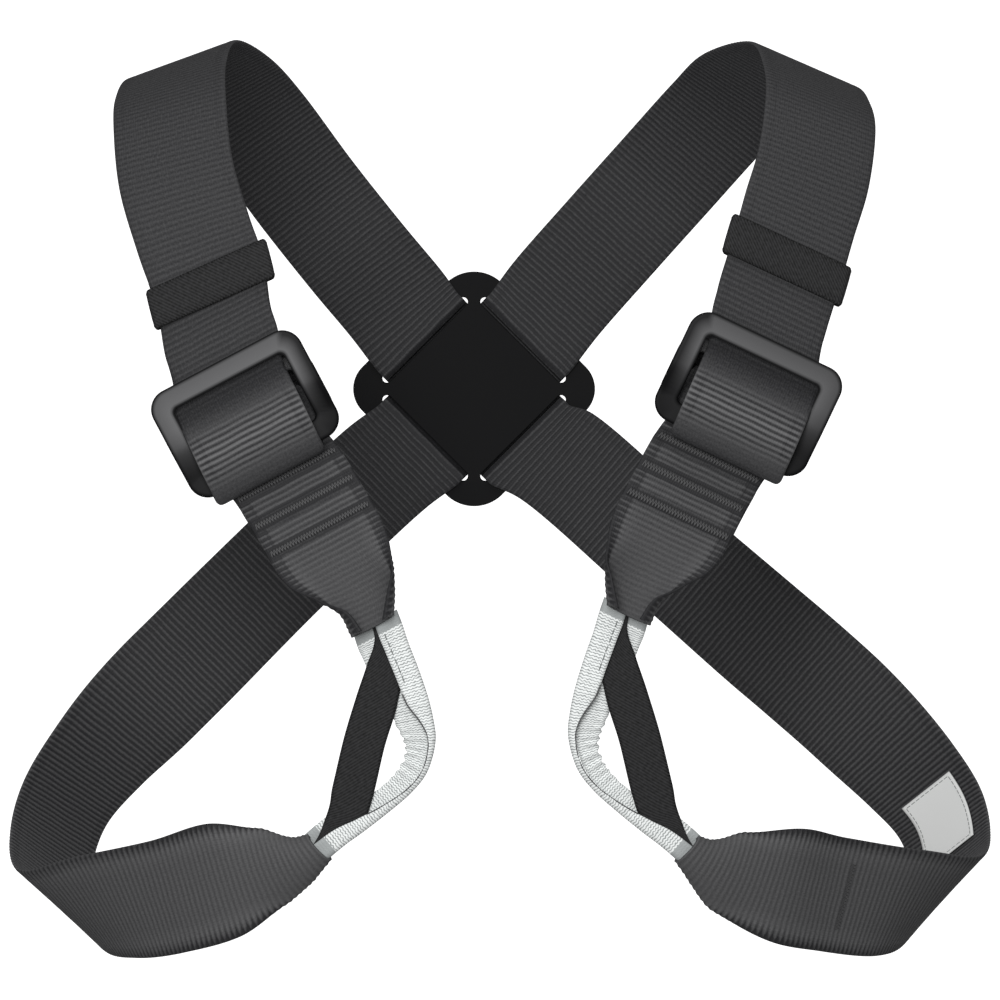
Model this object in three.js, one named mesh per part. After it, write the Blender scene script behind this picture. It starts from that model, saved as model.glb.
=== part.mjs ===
// A climbing chest harness, held in the form it takes when it is worn.
// Two long webbing straps cross behind a back plate. Each runs from a gathered neck on the chest,
// round under one arm, over the other shoulder, and down into a two-frame buckle on the chest.
// Sewn tabs hang from the buckles. Two folded tie-in loops join them to the necks, each from lip to
// lip, with a band between its flaps.
//
// Millimetres, +Z up. +X is to the right as seen from in front of the wearer, whose chest is at -Y.
// The pieces are placed from the centre of the back plate, and the whole is moved at the end so
// that the origin lies midway between the undersides of the two shoulder straps.

import * as THREE from 'three';

// Reach of the harness from the centre of the back plate
const HALF_SPAN = 192;
const SHOULDER_RISE = 137;
const UNDERARM_DROP = 224;
const BODY_DEPTH = 157;

// Webbing, and the clearance kept between neighbouring pieces
const WEB_WIDTH = 45;
const WEB_THICK = 1.8;
const GAP = 0.35;
const LAYER = WEB_THICK + GAP;

// Back plate: a square with round corners that stands on one corner, with four slots
const PLATE_SIDE = 76;
const PLATE_CORNER = 16;
const PLATE_SIDE_CORNER = 12.5;
const PLATE_THICK = 2.5;
const SLOT_FROM_CENTRE = 26;
const SLOT_WIDTH = 3.6;
const SLOT_LENGTH = WEB_WIDTH + 2;
const SLOT_BEND = 1.8;

// Buckle frames: the outer one shows, and the inner one behind it carries the sewn tab
const FRAME_BAR = 8.3;
const FRAME_SIDE_BAR = 7.6;
const FRAME_PLAY = 1.7;
const FRAME_THICK = 4;
const FRAME_HEIGHT = 45;
const FRAME_WIDTH = WEB_WIDTH + (FRAME_PLAY + FRAME_SIDE_BAR) * 2;
const FRAME_CORNER = 8;
const FRAME_OPENING_CORNER = 2.2;
const FRAME_BEND = 4;
const INNER_FRAME_HEIGHT = 30;
const INNER_FRAME_BAR = 6;
const INNER_FRAME_PLAY = 1.7;
const INNER_FRAME_DOWN = 2;
const INNER_FRAME_SLACK = 1.5;

// Elastic keepers
const KEEPER_LENGTH = 15.4;
const KEEPER_THICK = 1.3;
const KEEPER_EASE = 0.8;
const KEEPER_SIDE_EASE = 1.4;

// The tail ends this share of the way from the keeper to the shoulder row above it
const TAIL_REACH = 0.45;

// Sewn tabs below the buckles
const TAB_LIFT = 4;
const TAB_TURN = 2;
const TAB_EASE = 0.4;
const TAB_TURN_EASE = 0.56;

// Tie-in loops and the bands between their flaps
const LOOP_WIDTH = 19;
const LOOP_THICK = 1.3;
const LOOP_BOW = 34;
const BAND_WIDTH = 16;
const BAND_THICK = 1.4;
const NECK_DEPTH = 3.9;

// Care label
const LABEL_THICK = 0.5;
const LABEL_GAP = 0.63;

// How finely the straps are stepped
const STATION_TURN = THREE.MathUtils.degToRad(15);
const STATION_STEP = 34;
const WEB_STRIPS = 6;
const LEAST_CURL = 2;

// Stations of the straps from the plate outwards. x is a share of HALF_SPAN, y a share of
// BODY_DEPTH towards the chest, z a share of SHOULDER_RISE or UNDERARM_DROP, and lean is the slope
// of the webbing's width in degrees, and tip is how far that width turns in depth. across is the
// share of WEB_WIDTH between the edges, curl is how far the edges roll back in degrees, and deep is
// the depth of the rolled section over half its width.
const SHOULDER_LEFT = [
  { x: -0.161, y: 0.012, z: 0.246, lean: 37.8 },
  { x: -0.241, y: 0.036, z: 0.38, lean: 37.8 },
  { x: -0.344, y: 0.064, z: 0.561, lean: 37.5 },
  { x: -0.45, y: 0.166, z: 0.76, lean: 34 },
  { x: -0.523, y: 0.306, z: 0.876, lean: 26 },
  { x: -0.59, y: 0.497, z: 0.928, lean: 20.6 },
  { x: -0.61, y: 0.688, z: 0.86, lean: 17.5 },
  { x: -0.608, y: 0.809, z: 0.763, lean: 15.8 },
  { x: -0.592, y: 0.898, z: 0.583, lean: 16 },
  { x: -0.556, y: 0.936, z: 0.414, lean: 19 },
  { x: -0.522, y: 0.955, z: 0.276, lean: 24 },
];
const SHOULDER_RIGHT = [
  { x: 0.172, y: 0.012, z: 0.265, lean: 41.5 },
  { x: 0.282, y: 0.036, z: 0.44, lean: 41.5 },
  { x: 0.393, y: 0.064, z: 0.613, lean: 41 },
  { x: 0.504, y: 0.166, z: 0.784, lean: 37 },
  { x: 0.573, y: 0.306, z: 0.878, lean: 30 },
  { x: 0.667, y: 0.497, z: 0.915, lean: 24.2 },
  { x: 0.693, y: 0.688, z: 0.851, lean: 21.5 },
  { x: 0.697, y: 0.809, z: 0.764, lean: 20 },
  { x: 0.679, y: 0.898, z: 0.597, lean: 20.5 },
  { x: 0.651, y: 0.936, z: 0.47, lean: 23 },
  { x: 0.625, y: 0.955, z: 0.343, lean: 25 },
];
const UNDERARM_LEFT = [
  { x: -0.184, y: 0.012, z: -0.143, lean: 45.5 },
  { x: -0.409, y: 0.036, z: -0.327, lean: 45 },
  { x: -0.584, y: 0.057, z: -0.477, lean: 44.5, across: 1.02 },
  { x: -0.673, y: 0.076, z: -0.554, lean: 43, across: 1.02, tip: 0.1 },
  { x: -0.776, y: 0.121, z: -0.651, lean: 38, tip: 0.45 },
  { x: -0.846, y: 0.217, z: -0.738, lean: 35, tip: 0.7 },
  { x: -0.868, y: 0.357, z: -0.829, lean: 38, tip: 0.6 },
  { x: -0.838, y: 0.535, z: -0.91, lean: 43.5, tip: 0.2 },
  { x: -0.736, y: 0.701, z: -0.902, lean: 62 },
  { x: -0.615, y: 0.815, z: -0.881, lean: 73 },
  { x: -0.496, y: 0.898, z: -0.849, lean: 73, curl: 14, deep: 0.3 },
  { x: -0.406, y: 0.943, z: -0.827, lean: 68, across: 0.66, curl: 92, deep: 0.42 },
  { x: -0.347, y: 0.968, z: -0.814, lean: 58, across: 0.4, curl: 140, deep: 0.56 },
  { x: -0.309, y: 0.981, z: -0.794, lean: 47, across: 0.27, curl: 150, deep: 0.68 },
];
const UNDERARM_RIGHT = [
  { x: 0.169, y: 0.012, z: -0.119, lean: 49 },
  { x: 0.388, y: 0.036, z: -0.281, lean: 49 },
  { x: 0.596, y: 0.057, z: -0.436, lean: 49, across: 1.03 },
  { x: 0.69, y: 0.07, z: -0.505, lean: 48.5, across: 1.03 },
  { x: 0.783, y: 0.096, z: -0.577, lean: 47.5, across: 1.02, tip: 0.1 },
  { x: 0.908, y: 0.166, z: -0.689, lean: 42, tip: 0.45 },
  { x: 0.965, y: 0.261, z: -0.759, lean: 39, tip: 0.65 },
  { x: 0.977, y: 0.382, z: -0.835, lean: 41, tip: 0.5 },
  { x: 0.953, y: 0.535, z: -0.893, lean: 49, tip: 0.15 },
  { x: 0.861, y: 0.688, z: -0.896, lean: 66 },
  { x: 0.722, y: 0.803, z: -0.877, lean: 76 },
  { x: 0.625, y: 0.885, z: -0.858, lean: 73, curl: 14, deep: 0.3 },
  { x: 0.519, y: 0.943, z: -0.837, lean: 66, across: 0.7, curl: 90, deep: 0.42 },
  { x: 0.464, y: 0.968, z: -0.818, lean: 57, across: 0.4, curl: 140, deep: 0.56 },
  { x: 0.43, y: 0.981, z: -0.797, lean: 47, across: 0.27, curl: 150, deep: 0.68 },
];

// Each side's buckle stands here, leaning outwards, with its tab's neck this far below it
const LEFT = { side: -1, x: -0.4525, y: 0.975, z: -0.086, lean: 27.9, tabDrop: 94.9 };
const RIGHT = { side: 1, x: 0.548, y: 0.975, z: -0.031, lean: 25.4, tabDrop: 96.2 };

// The webbing's way through a buckle, from above. down is a share of the frame's half height and
// aside a share of the opening's play. ride counts the bar's clearance in front of it or behind it,
// bend is the share of the lower bar's setback, and inner the share of the way to the inner frame.
const BUCKLE_ROLL = [
  { down: -1.5, aside: 3.4, ride: -1.1, bend: 0, inner: 0 },
  { down: -1.0, aside: 2.5, ride: -1.05, bend: 0, inner: 0 },
  { down: -0.66, aside: 1.2, ride: -1.05, bend: 0, inner: 0 },
  { down: -0.45, aside: 0.5, ride: -0.5, bend: 0, inner: 0 },
  { down: -0.17, aside: 0, ride: 0.65, bend: 0, inner: 0 },
  { down: 0.18, aside: -0.4, ride: 1.35, bend: 0, inner: 0 },
  { down: 0.55, aside: -0.75, ride: 1.35, bend: 0.15, inner: 0 },
  { down: 0.86, aside: -1.05, ride: 1, bend: 0.5, inner: 0 },
  { down: 1.09, aside: -1.35, ride: 0.5, bend: 0.85, inner: 0 },
  { down: 1.15, aside: -1.45, ride: -0.1, bend: 1, inner: 0 },
  { down: 1.1, aside: -1.35, ride: -0.7, bend: 1, inner: 0 },
  { down: 0.9, aside: -1.05, ride: -1.12, bend: 1, inner: 0 },
  { down: 0.55, aside: -0.5, ride: -1.1, bend: 1, inner: 0 },
  { down: 0.27, aside: -0.2, ride: -1.1, bend: 1, inner: 0.1 },
  { down: 0.045, aside: 0, ride: -1.1, bend: 1, inner: 0.5 },
  { down: -0.165, aside: 0, ride: -1.1, bend: 1, inner: 0.93 },
  { down: -0.38, aside: 0.2, ride: -1.1, bend: 1, inner: 1.02 },
  { down: -0.68, aside: 0.5, ride: -1.1, bend: 1, inner: 0.97 },
  { down: -1.05, aside: 1.9, ride: -1.1, bend: 1, inner: 0.5 },
  { down: -1.48, aside: 3.4, ride: -1.1, bend: 0.62, inner: 0 },
];

// A sewn tab from its neck up to the inner frame. down is a share of tabDrop, aside a share of
// WEB_WIDTH towards the middle of the chest, and lift the share of TAB_LIFT gained on the way down.
const TAB = [
  { down: 1.0, aside: 0.12, lift: 1, across: 0.385, curl: 150, deep: 0.45 },
  { down: 0.9, aside: 0.18, lift: 0.9, across: 0.5, curl: 125, deep: 0.42 },
  { down: 0.82, aside: 0.165, lift: 0.78, across: 0.7, curl: 80, deep: 0.4 },
  { down: 0.72, aside: 0.12, lift: 0.6, across: 0.92, curl: 25, deep: 0.4 },
  { down: 0.62, aside: 0.105, lift: 0.45, across: 1, curl: 8, deep: 0.4 },
  { down: 0.48, aside: 0.095, lift: 0.27, across: 1, curl: 4, deep: 0.4 },
  { down: 0.3, aside: 0.07, lift: 0.08, across: 1, curl: 3, deep: 0.4 },
];
const TAB_BACK_ROWS = [0.3, 0.36, 0.48, 0.58];

// A tie-in loop's outer fold. along is a share of the way from the tab's neck to the strap's neck,
// bow a share of LOOP_BOW, and back and front are the two flaps' shares of LOOP_WIDTH.
const LOOP = [
  { along: -0.077, bow: 0.235, back: 1.0, front: 0.52 },
  { along: -0.045, bow: 0.3, back: 1.02, front: 0.53 },
  { along: 0.025, bow: 0.415, back: 0.98, front: 0.5 },
  { along: 0.12, bow: 0.59, back: 0.95, front: 0.49 },
  { along: 0.24, bow: 0.79, back: 0.83, front: 0.45 },
  { along: 0.33, bow: 0.91, back: 0.76, front: 0.32 },
  { along: 0.4, bow: 0.98, back: 0.68, front: 0.24 },
  { along: 0.49, bow: 1.0, back: 0.56, front: 0.2 },
  { along: 0.575, bow: 0.97, back: 0.53, front: 0.2 },
  { along: 0.665, bow: 0.86, back: 0.5, front: 0.2 },
  { along: 0.765, bow: 0.68, back: 0.5, front: 0.22 },
  { along: 0.88, bow: 0.45, back: 0.62, front: 0.3 },
  { along: 0.95, bow: 0.3, back: 0.68, front: 0.36 },
  { along: 1.0, bow: 0.2, back: 0.66, front: 0.36 },
];

// The band inside a loop. bow is the share of LOOP_BOW at its middle, across of BAND_WIDTH.
const BAND = [
  { along: -0.05, bow: -0.02, across: 0.25 },
  { along: -0.01, bow: 0.05, across: 0.3 },
  { along: 0.04, bow: 0.15, across: 0.5 },
  { along: 0.16, bow: 0.225, across: 0.85 },
  { along: 0.31, bow: 0.235, across: 1 },
  { along: 0.49, bow: 0.215, across: 1 },
  { along: 0.72, bow: 0.225, across: 1 },
  { along: 0.82, bow: 0.215, across: 0.9 },
  { along: 0.89, bow: 0.13, across: 0.62 },
  { along: 0.95, bow: 0.05, across: 0.34 },
  { along: 1.0, bow: -0.02, across: 0.2 },
];

// The label's place on the right lower strap, in rows of UNDERARM_RIGHT and shares of WEB_WIDTH
const LABEL = { firstRow: 5.4, lastRow: 6.9, lowEdge: -0.27, highEdge: 0.33 };

// Worked-out sizes
const barClear = FRAME_THICK / 2 + GAP + WEB_THICK / 2;
const betweenFrames = barClear + WEB_THICK * 1.5 + GAP * 2 + FRAME_THICK / 2;
const innerSet = FRAME_BEND + betweenFrames + INNER_FRAME_SLACK;
const slotMiddle = SLOT_FROM_CENTRE + SLOT_WIDTH / 2;
const flapOffset = (BAND_THICK + LOOP_THICK) / 2 + GAP;
const tabClear = barClear + TAB_EASE;
const keeperBack = LAYER + GAP;

function leanVector(degrees, side, tip = 0) {
  const angle = THREE.MathUtils.degToRad(degrees);
  return new THREE.Vector3(Math.cos(angle), tip * side, Math.sin(angle) * -side).normalize();
}

// A control point of a strap: its place, the direction of its width, and its section's shape
function control(place, widthways, shape = {}) {
  const { across = 1, curl = LEAST_CURL, deep = 0.1 } = shape;
  return { place, widthways, shape: new THREE.Vector3(across, curl, deep) };
}

function placeOf(row) {
  const height = row.z > 0 ? SHOULDER_RISE : UNDERARM_DROP;
  return new THREE.Vector3(row.x * HALF_SPAN, -row.y * BODY_DEPTH, row.z * height);
}

// Stations along the smooth curve through the control points, closer together in the bends
function follow(controls, first = 0, last = controls.length - 1) {
  const spans = controls.length - 1;
  const places = new THREE.CatmullRomCurve3(controls.map((c) => c.place), false, 'centripetal');
  const widths = new THREE.CatmullRomCurve3(controls.map((c) => c.widthways), false, 'catmullrom');
  const shapes = new THREE.CatmullRomCurve3(controls.map((c) => c.shape), false, 'catmullrom');
  const stations = [];
  const addStation = (position) => {
    const t = Math.min(position / spans, 1);
    const along = places.getTangent(t);
    const widthways = widths.getPoint(t).normalize();
    const outwards = new THREE.Vector3().crossVectors(along, widthways).normalize();
    const shape = shapes.getPoint(t);
    stations.push({ place: places.getPoint(t), widthways, outwards, shape });
  };
  let position = first;
  while (position < last - 1e-6) {
    const next = Math.min(Math.floor(position + 1e-6) + 1, last);
    const turn = places.getTangent(position / spans).angleTo(places.getTangent(next / spans));
    const length = places.getPoint(position / spans).distanceTo(places.getPoint(next / spans));
    const steps = Math.max(1, Math.ceil(turn / STATION_TURN), Math.ceil(length / STATION_STEP));
    for (let i = 0; i < steps; i += 1) {
      addStation(position + ((next - position) * i) / steps);
    }
    position = next;
  }
  addStation(last);
  return stations;
}

// A closed mesh from rings of points with a cap at each end, or from a closed chain of rings
function skin(rings, closed = false) {
  const count = rings[0].length;
  const positions = rings.flat().flatMap((point) => point.toArray());
  const index = [];
  const quad = (a, b, c, d) => index.push(a, b, c, a, c, d);
  const spans = closed ? rings.length : rings.length - 1;
  for (let r = 0; r < spans; r += 1) {
    const here = r * count;
    const there = ((r + 1) % rings.length) * count;
    for (let i = 0; i < count; i += 1) {
      const j = (i + 1) % count;
      quad(here + i, there + i, there + j, here + j);
    }
  }
  if (!closed) {
    // the ring's two long sides run opposite ways, so a cap is a strip between them
    const lastRing = (rings.length - 1) * count;
    for (let i = 0; i < count / 2 - 1; i += 1) {
      const j = count - 1 - i;
      quad(i, i + 1, j - 1, j);
      quad(lastRing + i, lastRing + j, lastRing + j - 1, lastRing + i + 1);
    }
  }
  return facingOut(positions, index);
}

// Turns the triangles round if the mesh's signed volume is negative
function facingOut(positions, index) {
  const corner = (i) => new THREE.Vector3().fromArray(positions, i * 3);
  let volume = 0;
  for (let i = 0; i < index.length; i += 3) {
    volume += corner(index[i]).dot(corner(index[i + 1]).cross(corner(index[i + 2])));
  }
  if (volume < 0) {
    index.reverse();
  }
  const geometry = new THREE.BufferGeometry();
  geometry.setAttribute('position', new THREE.Float32BufferAttribute(positions, 3));
  geometry.setIndex(index);
  geometry.computeVertexNormals();
  return geometry;
}

// A band of cloth: sectionOf gives the middle line across each station, as points (side, out) with
// their normals, and half the thickness is laid on either side of it
function cloth(stations, sectionOf, thick) {
  const rings = stations.map((station) => {
    const line = sectionOf(station);
    const at = (point, offset) =>
      station.place
        .clone()
        .addScaledVector(station.widthways, point.side + point.normalSide * offset)
        .addScaledVector(station.outwards, point.out + point.normalOut * offset);
    const front = line.map((point) => at(point, thick / 2));
    const back = line.map((point) => at(point, -thick / 2));
    return [...front, ...back.reverse()];
  });
  return skin(rings);
}

// Webbing's middle line: an arc of an ellipse that is nearly flat at a small curl and closes to a
// flattened C at a large one
function webSection(width) {
  return ({ shape }) => {
    const curl = THREE.MathUtils.degToRad(Math.max(shape.y, LEAST_CURL));
    const halfSide = (width * shape.x) / 2 / Math.sin(Math.min(curl, Math.PI / 2));
    const halfOut = halfSide * shape.z;
    const line = [];
    for (let i = 0; i <= WEB_STRIPS; i += 1) {
      const angle = curl * ((2 * i) / WEB_STRIPS - 1);
      const sine = Math.sin(angle);
      const cosine = Math.cos(angle);
      const normal = new THREE.Vector2(sine / halfSide, cosine / halfOut).normalize();
      line.push({
        side: halfSide * sine,
        out: halfOut * (cosine - 1),
        normalSide: normal.x,
        normalOut: normal.y,
      });
    }
    return line;
  };
}

// A flat middle line between two edges, set back from the station's place
function flatSection(lowEdge, highEdge, out) {
  const sides = [lowEdge, (lowEdge + highEdge) / 2, highEdge];
  const line = sides.map((side) => ({ side, out, normalSide: 0, normalOut: 1 }));
  return () => line;
}

// A tie-in loop's middle line: a back flap, a half circle round the outer fold and a front flap.
// shape.x and shape.y are the widths of the two flaps, measured from the outer fold.
function foldSection({ shape }) {
  const foldSteps = 4;
  const foldSide = -(flapOffset + LOOP_THICK / 2);
  const line = [];
  for (const share of [1, 0.5]) {
    const side = foldSide + (foldSide + shape.x) * -share;
    line.push({ side, out: -flapOffset, normalSide: 0, normalOut: -1 });
  }
  for (let i = 0; i <= foldSteps; i += 1) {
    const angle = Math.PI * (i / foldSteps - 0.5);
    line.push({
      side: foldSide + flapOffset * Math.cos(angle),
      out: flapOffset * Math.sin(angle),
      normalSide: Math.cos(angle),
      normalOut: Math.sin(angle),
    });
  }
  const frontEnd = Math.min(foldSide - GAP, -shape.y);
  line.push({ side: frontEnd, out: flapOffset, normalSide: 0, normalOut: 1 });
  return line;
}

// Local axes of a buckle: across the webbing, down along it, and out from the chest
function buckleAxes(buckle) {
  const across = leanVector(buckle.lean, buckle.side);
  const down = new THREE.Vector3(-buckle.side * Math.abs(across.z), 0, -across.x);
  const out = new THREE.Vector3(0, -1, 0);
  const centre = new THREE.Vector3(buckle.x * HALF_SPAN, -buckle.y * BODY_DEPTH, 0);
  centre.z = buckle.z * SHOULDER_RISE;
  // inwards points to the middle of the chest, so both buckles can use the same tables
  const inwards = across.clone().multiplyScalar(-buckle.side);
  const at = (aside, downwards, outwards) =>
    centre
      .clone()
      .addScaledVector(inwards, aside)
      .addScaledVector(down, downwards)
      .addScaledVector(out, outwards);
  return { across, down, out, inwards, centre, at };
}

// The webbing's bend through a plate slot, from the inner side of the plate to the layer behind it
function slotPassage(sideX, sideZ, widthways, depthBehind) {
  const bendSteps = 3;
  const points = [];
  const front = -(GAP + WEB_THICK / 2);
  const addPoint = (distance, y) => {
    const reach = distance / Math.SQRT2;
    points.push(control(new THREE.Vector3(sideX * reach, y, sideZ * reach), widthways));
  };
  // a flat stretch on either side keeps the curve from swinging past the bend
  addPoint(slotMiddle + SLOT_BEND * 2.2, front);
  for (let i = 0; i <= bendSteps; i += 1) {
    const angle = ((Math.PI / 2) * i) / bendSteps;
    const distance = slotMiddle + SLOT_BEND * (1 - Math.sin(angle));
    addPoint(distance, front + SLOT_BEND * (1 - Math.cos(angle)));
  }
  for (let i = 0; i <= bendSteps; i += 1) {
    const angle = ((Math.PI / 2) * i) / bendSteps;
    const distance = slotMiddle - SLOT_BEND * (1 - Math.cos(angle));
    addPoint(distance, depthBehind - SLOT_BEND * (1 - Math.sin(angle)));
  }
  addPoint(slotMiddle - SLOT_BEND * 2.2, depthBehind);
  return points;
}

function buckleRun(buckle) {
  const { across, at } = buckleAxes(buckle);
  const halfHeight = FRAME_HEIGHT / 2;
  return BUCKLE_ROLL.map((row) => {
    const out = row.ride * barClear - row.bend * FRAME_BEND - row.inner * (innerSet - FRAME_BEND);
    return control(at(row.aside * FRAME_PLAY, row.down * halfHeight, out), across);
  });
}

// Controls of one long strap: neck, under the arm, behind the plate, over the shoulder, through the
// buckle, and a tail that runs back up behind the shoulder strap into the keeper
function longStrap(underarm, shoulder, buckle, depthBehind) {
  const fromRow = (row) => control(placeOf(row), leanVector(row.lean, buckle.side, row.tip), row);
  const plateWidth = leanVector(45, buckle.side);
  const up = shoulder.map(fromRow);
  const low = slotPassage(-buckle.side, -1, plateWidth, depthBehind);
  const high = slotPassage(buckle.side, 1, plateWidth, depthBehind);
  const behind = new THREE.Vector3(0, LAYER, 0);
  const keeperPlace = up.at(-1);
  const aboveKeeper = up.at(-2);
  const tailEnd = control(
    keeperPlace.place.clone().lerp(aboveKeeper.place, TAIL_REACH).add(behind),
    keeperPlace.widthways.clone().lerp(aboveKeeper.widthways, TAIL_REACH),
  );
  const tail = control(keeperPlace.place.clone().add(behind), keeperPlace.widthways);
  return [
    ...underarm.map(fromRow).reverse(),
    ...low,
    ...high.reverse(),
    ...up,
    ...buckleRun(buckle),
    tail,
    tailEnd,
  ];
}

// A sewn tab: up from its neck, round the inner frame's lower bar, and down again as a back layer
function tabControls(buckle) {
  const { across, at } = buckleAxes(buckle);
  const startOut = -(innerSet - tabClear);
  const outAt = (lift) => THREE.MathUtils.lerp(startOut, TAB_LIFT, lift);
  const front = TAB.map((row) =>
    control(at(row.aside * WEB_WIDTH, row.down * buckle.tabDrop, outAt(row.lift)), across, row),
  );
  const barDown = INNER_FRAME_DOWN + (INNER_FRAME_HEIGHT - INNER_FRAME_BAR) / 2;
  const topDown = barDown - INNER_FRAME_BAR / 2 + TAB_TURN;
  const turnSteps = 6;
  const turn = [];
  for (let i = 0; i <= turnSteps; i += 1) {
    const angle = (Math.PI * i) / turnSteps;
    const down = topDown - (TAB_TURN + TAB_TURN_EASE + WEB_THICK / 2) * Math.sin(angle);
    const out = -innerSet + tabClear * Math.cos(angle);
    turn.push(control(at(0, down, out), across));
  }
  const lowerBarEnd = barDown + INNER_FRAME_BAR / 2;
  turn.push(control(at(0, lowerBarEnd, -innerSet - tabClear), across));
  const table = (share, column) => {
    const i = TAB.findLastIndex((row) => row.down >= share);
    const j = Math.min(i + 1, TAB.length - 1);
    const span = TAB[i].down - TAB[j].down;
    const part = span > 0 ? (TAB[i].down - share) / span : 0;
    return THREE.MathUtils.lerp(TAB[i][column], TAB[j][column], part);
  };
  const back = TAB_BACK_ROWS.map((share, i) => {
    const set = i === 0 ? LAYER * 2 : LAYER + GAP;
    const aside = table(share, 'aside') * WEB_WIDTH;
    return control(at(aside, share * buckle.tabDrop, outAt(table(share, 'lift')) - set), across);
  });
  return [...front, ...turn, ...back];
}

// A buckle frame: a ring between two rounded rectangles, its lower part bent back
function frameGeometry(buckle, { height, bar, play, centreDown, centreOut, bend }) {
  const { at } = buckleAxes(buckle);
  const cornerSteps = 4;
  const sideSteps = 4;
  const chamfer = FRAME_THICK * 0.28;
  const outline = (width, tall, radius) => {
    const points = [];
    const corners = [[1, 1, 0], [-1, 1, 1], [-1, -1, 2], [1, -1, 3]];
    for (const [signX, signY, turn] of corners) {
      for (let i = 0; i <= cornerSteps; i += 1) {
        const angle = (Math.PI / 2) * (turn + i / cornerSteps);
        const x = signX * (width / 2 - radius) + radius * Math.cos(angle);
        const y = signY * (tall / 2 - radius) + radius * Math.sin(angle);
        points.push(new THREE.Vector2(x, y));
      }
    }
    // extra points along the two side bars, for their bend
    const last = cornerSteps + 1;
    const between = (a, b) =>
      Array.from({ length: sideSteps - 1 }, (_, i) => a.clone().lerp(b, (i + 1) / sideSteps));
    const left = between(points[last * 2 - 1], points[last * 2]);
    const right = between(points[last * 4 - 1], points[0]);
    return [...points.slice(0, last * 2), ...left, ...points.slice(last * 2), ...right];
  };
  const outer = outline(FRAME_WIDTH, height, FRAME_CORNER);
  const inner = outline(WEB_WIDTH + play * 2, height - bar * 2, FRAME_OPENING_CORNER);
  const half = FRAME_THICK / 2;
  const rings = outer.map((edge, i) => {
    const hole = inner[i];
    const inset = Math.min(chamfer / edge.distanceTo(hole), 0.4);
    const point = (share, out) => {
      const spot = edge.clone().lerp(hole, share);
      const setback = bend * THREE.MathUtils.smoothstep(spot.y, 0, height / 2 - bar);
      return at(spot.x, centreDown + spot.y, centreOut + out - setback);
    };
    return [
      point(0, half - chamfer),
      point(inset, half),
      point(1 - inset, half),
      point(1, half - chamfer),
      point(1, chamfer - half),
      point(1 - inset, -half),
      point(inset, -half),
      point(0, chamfer - half),
    ];
  });
  return skin(rings, true);
}

// An elastic keeper: a flat ring round the shoulder strap and the tail behind it
function keeperGeometry(shoulder, buckle) {
  const middle = shoulder.at(-1);
  const widthways = leanVector(middle.lean, buckle.side);
  const above = placeOf(shoulder.at(-2));
  const { at } = buckleAxes(buckle);
  const first = BUCKLE_ROLL[0];
  const below = at(first.aside * FRAME_PLAY, (first.down * FRAME_HEIGHT) / 2, first.ride * barClear);
  const along = below.clone().sub(above).normalize();
  const outwards = new THREE.Vector3().crossVectors(along, widthways).normalize();
  const cornerSteps = 3;
  const outline = (grow) => {
    const halfWidth = WEB_WIDTH / 2 + KEEPER_SIDE_EASE + grow;
    const front = WEB_THICK / 2 + KEEPER_EASE + grow;
    const back = -(WEB_THICK / 2 + keeperBack + KEEPER_EASE + grow);
    const radius = Math.min(grow + KEEPER_EASE, (front - back) / 2);
    const corners = [[1, front, 0], [-1, front, 1], [-1, back, 2], [1, back, 3]];
    return corners.flatMap(([sign, out, turn]) =>
      Array.from({ length: cornerSteps + 1 }, (_, i) => {
        const angle = (Math.PI / 2) * (turn + i / cornerSteps);
        const outCentre = out > 0 ? out - radius : out + radius;
        return new THREE.Vector2(
          sign * (halfWidth - radius) + radius * Math.cos(angle),
          outCentre + radius * Math.sin(angle),
        );
      }),
    );
  };
  const outer = outline(KEEPER_THICK);
  const inner = outline(0);
  const rings = outer.map((edge, i) => {
    const point = (spot, end) =>
      placeOf(middle)
        .addScaledVector(widthways, spot.x)
        .addScaledVector(outwards, spot.y)
        .addScaledVector(along, (KEEPER_LENGTH / 2) * end);
    return [point(edge, 1), point(inner[i], 1), point(inner[i], -1), point(edge, -1)];
  });
  return skin(rings, true);
}

// The plane of a tie-in loop: from the tab's neck to the strap's neck, bowed to the middle
function loopPlane(underarm, buckle) {
  const { at: fromBuckle } = buckleAxes(buckle);
  const start = fromBuckle(TAB[0].aside * WEB_WIDTH, buckle.tabDrop, TAB_LIFT - NECK_DEPTH);
  const end = placeOf(underarm.at(-1)).add(new THREE.Vector3(0, NECK_DEPTH, 0));
  const along = end.clone().sub(start);
  const length = along.length();
  along.normalize();
  const bowed = new THREE.Vector3(-along.z, 0, along.x).normalize();
  if (bowed.x * -buckle.side < 0) {
    bowed.negate();
  }
  const at = (share, bow) =>
    start.clone().addScaledVector(along, share * length).addScaledVector(bowed, bow);
  const facing = new THREE.Vector3().crossVectors(bowed, along).multiplyScalar(buckle.side);
  // the ends lie along the lips of the two necks, and their widths point to the bow like the rest
  const inPlane = (lip) => {
    const flat = lip.clone().addScaledVector(facing, -lip.dot(facing)).normalize();
    return flat.multiplyScalar(Math.sign(flat.dot(bowed)));
  };
  const tabLip = inPlane(leanVector(buckle.lean, buckle.side));
  const strapLip = inPlane(leanVector(underarm.at(-1).lean, -buckle.side));
  return { at, facing, tabLip, strapLip };
}

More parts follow.
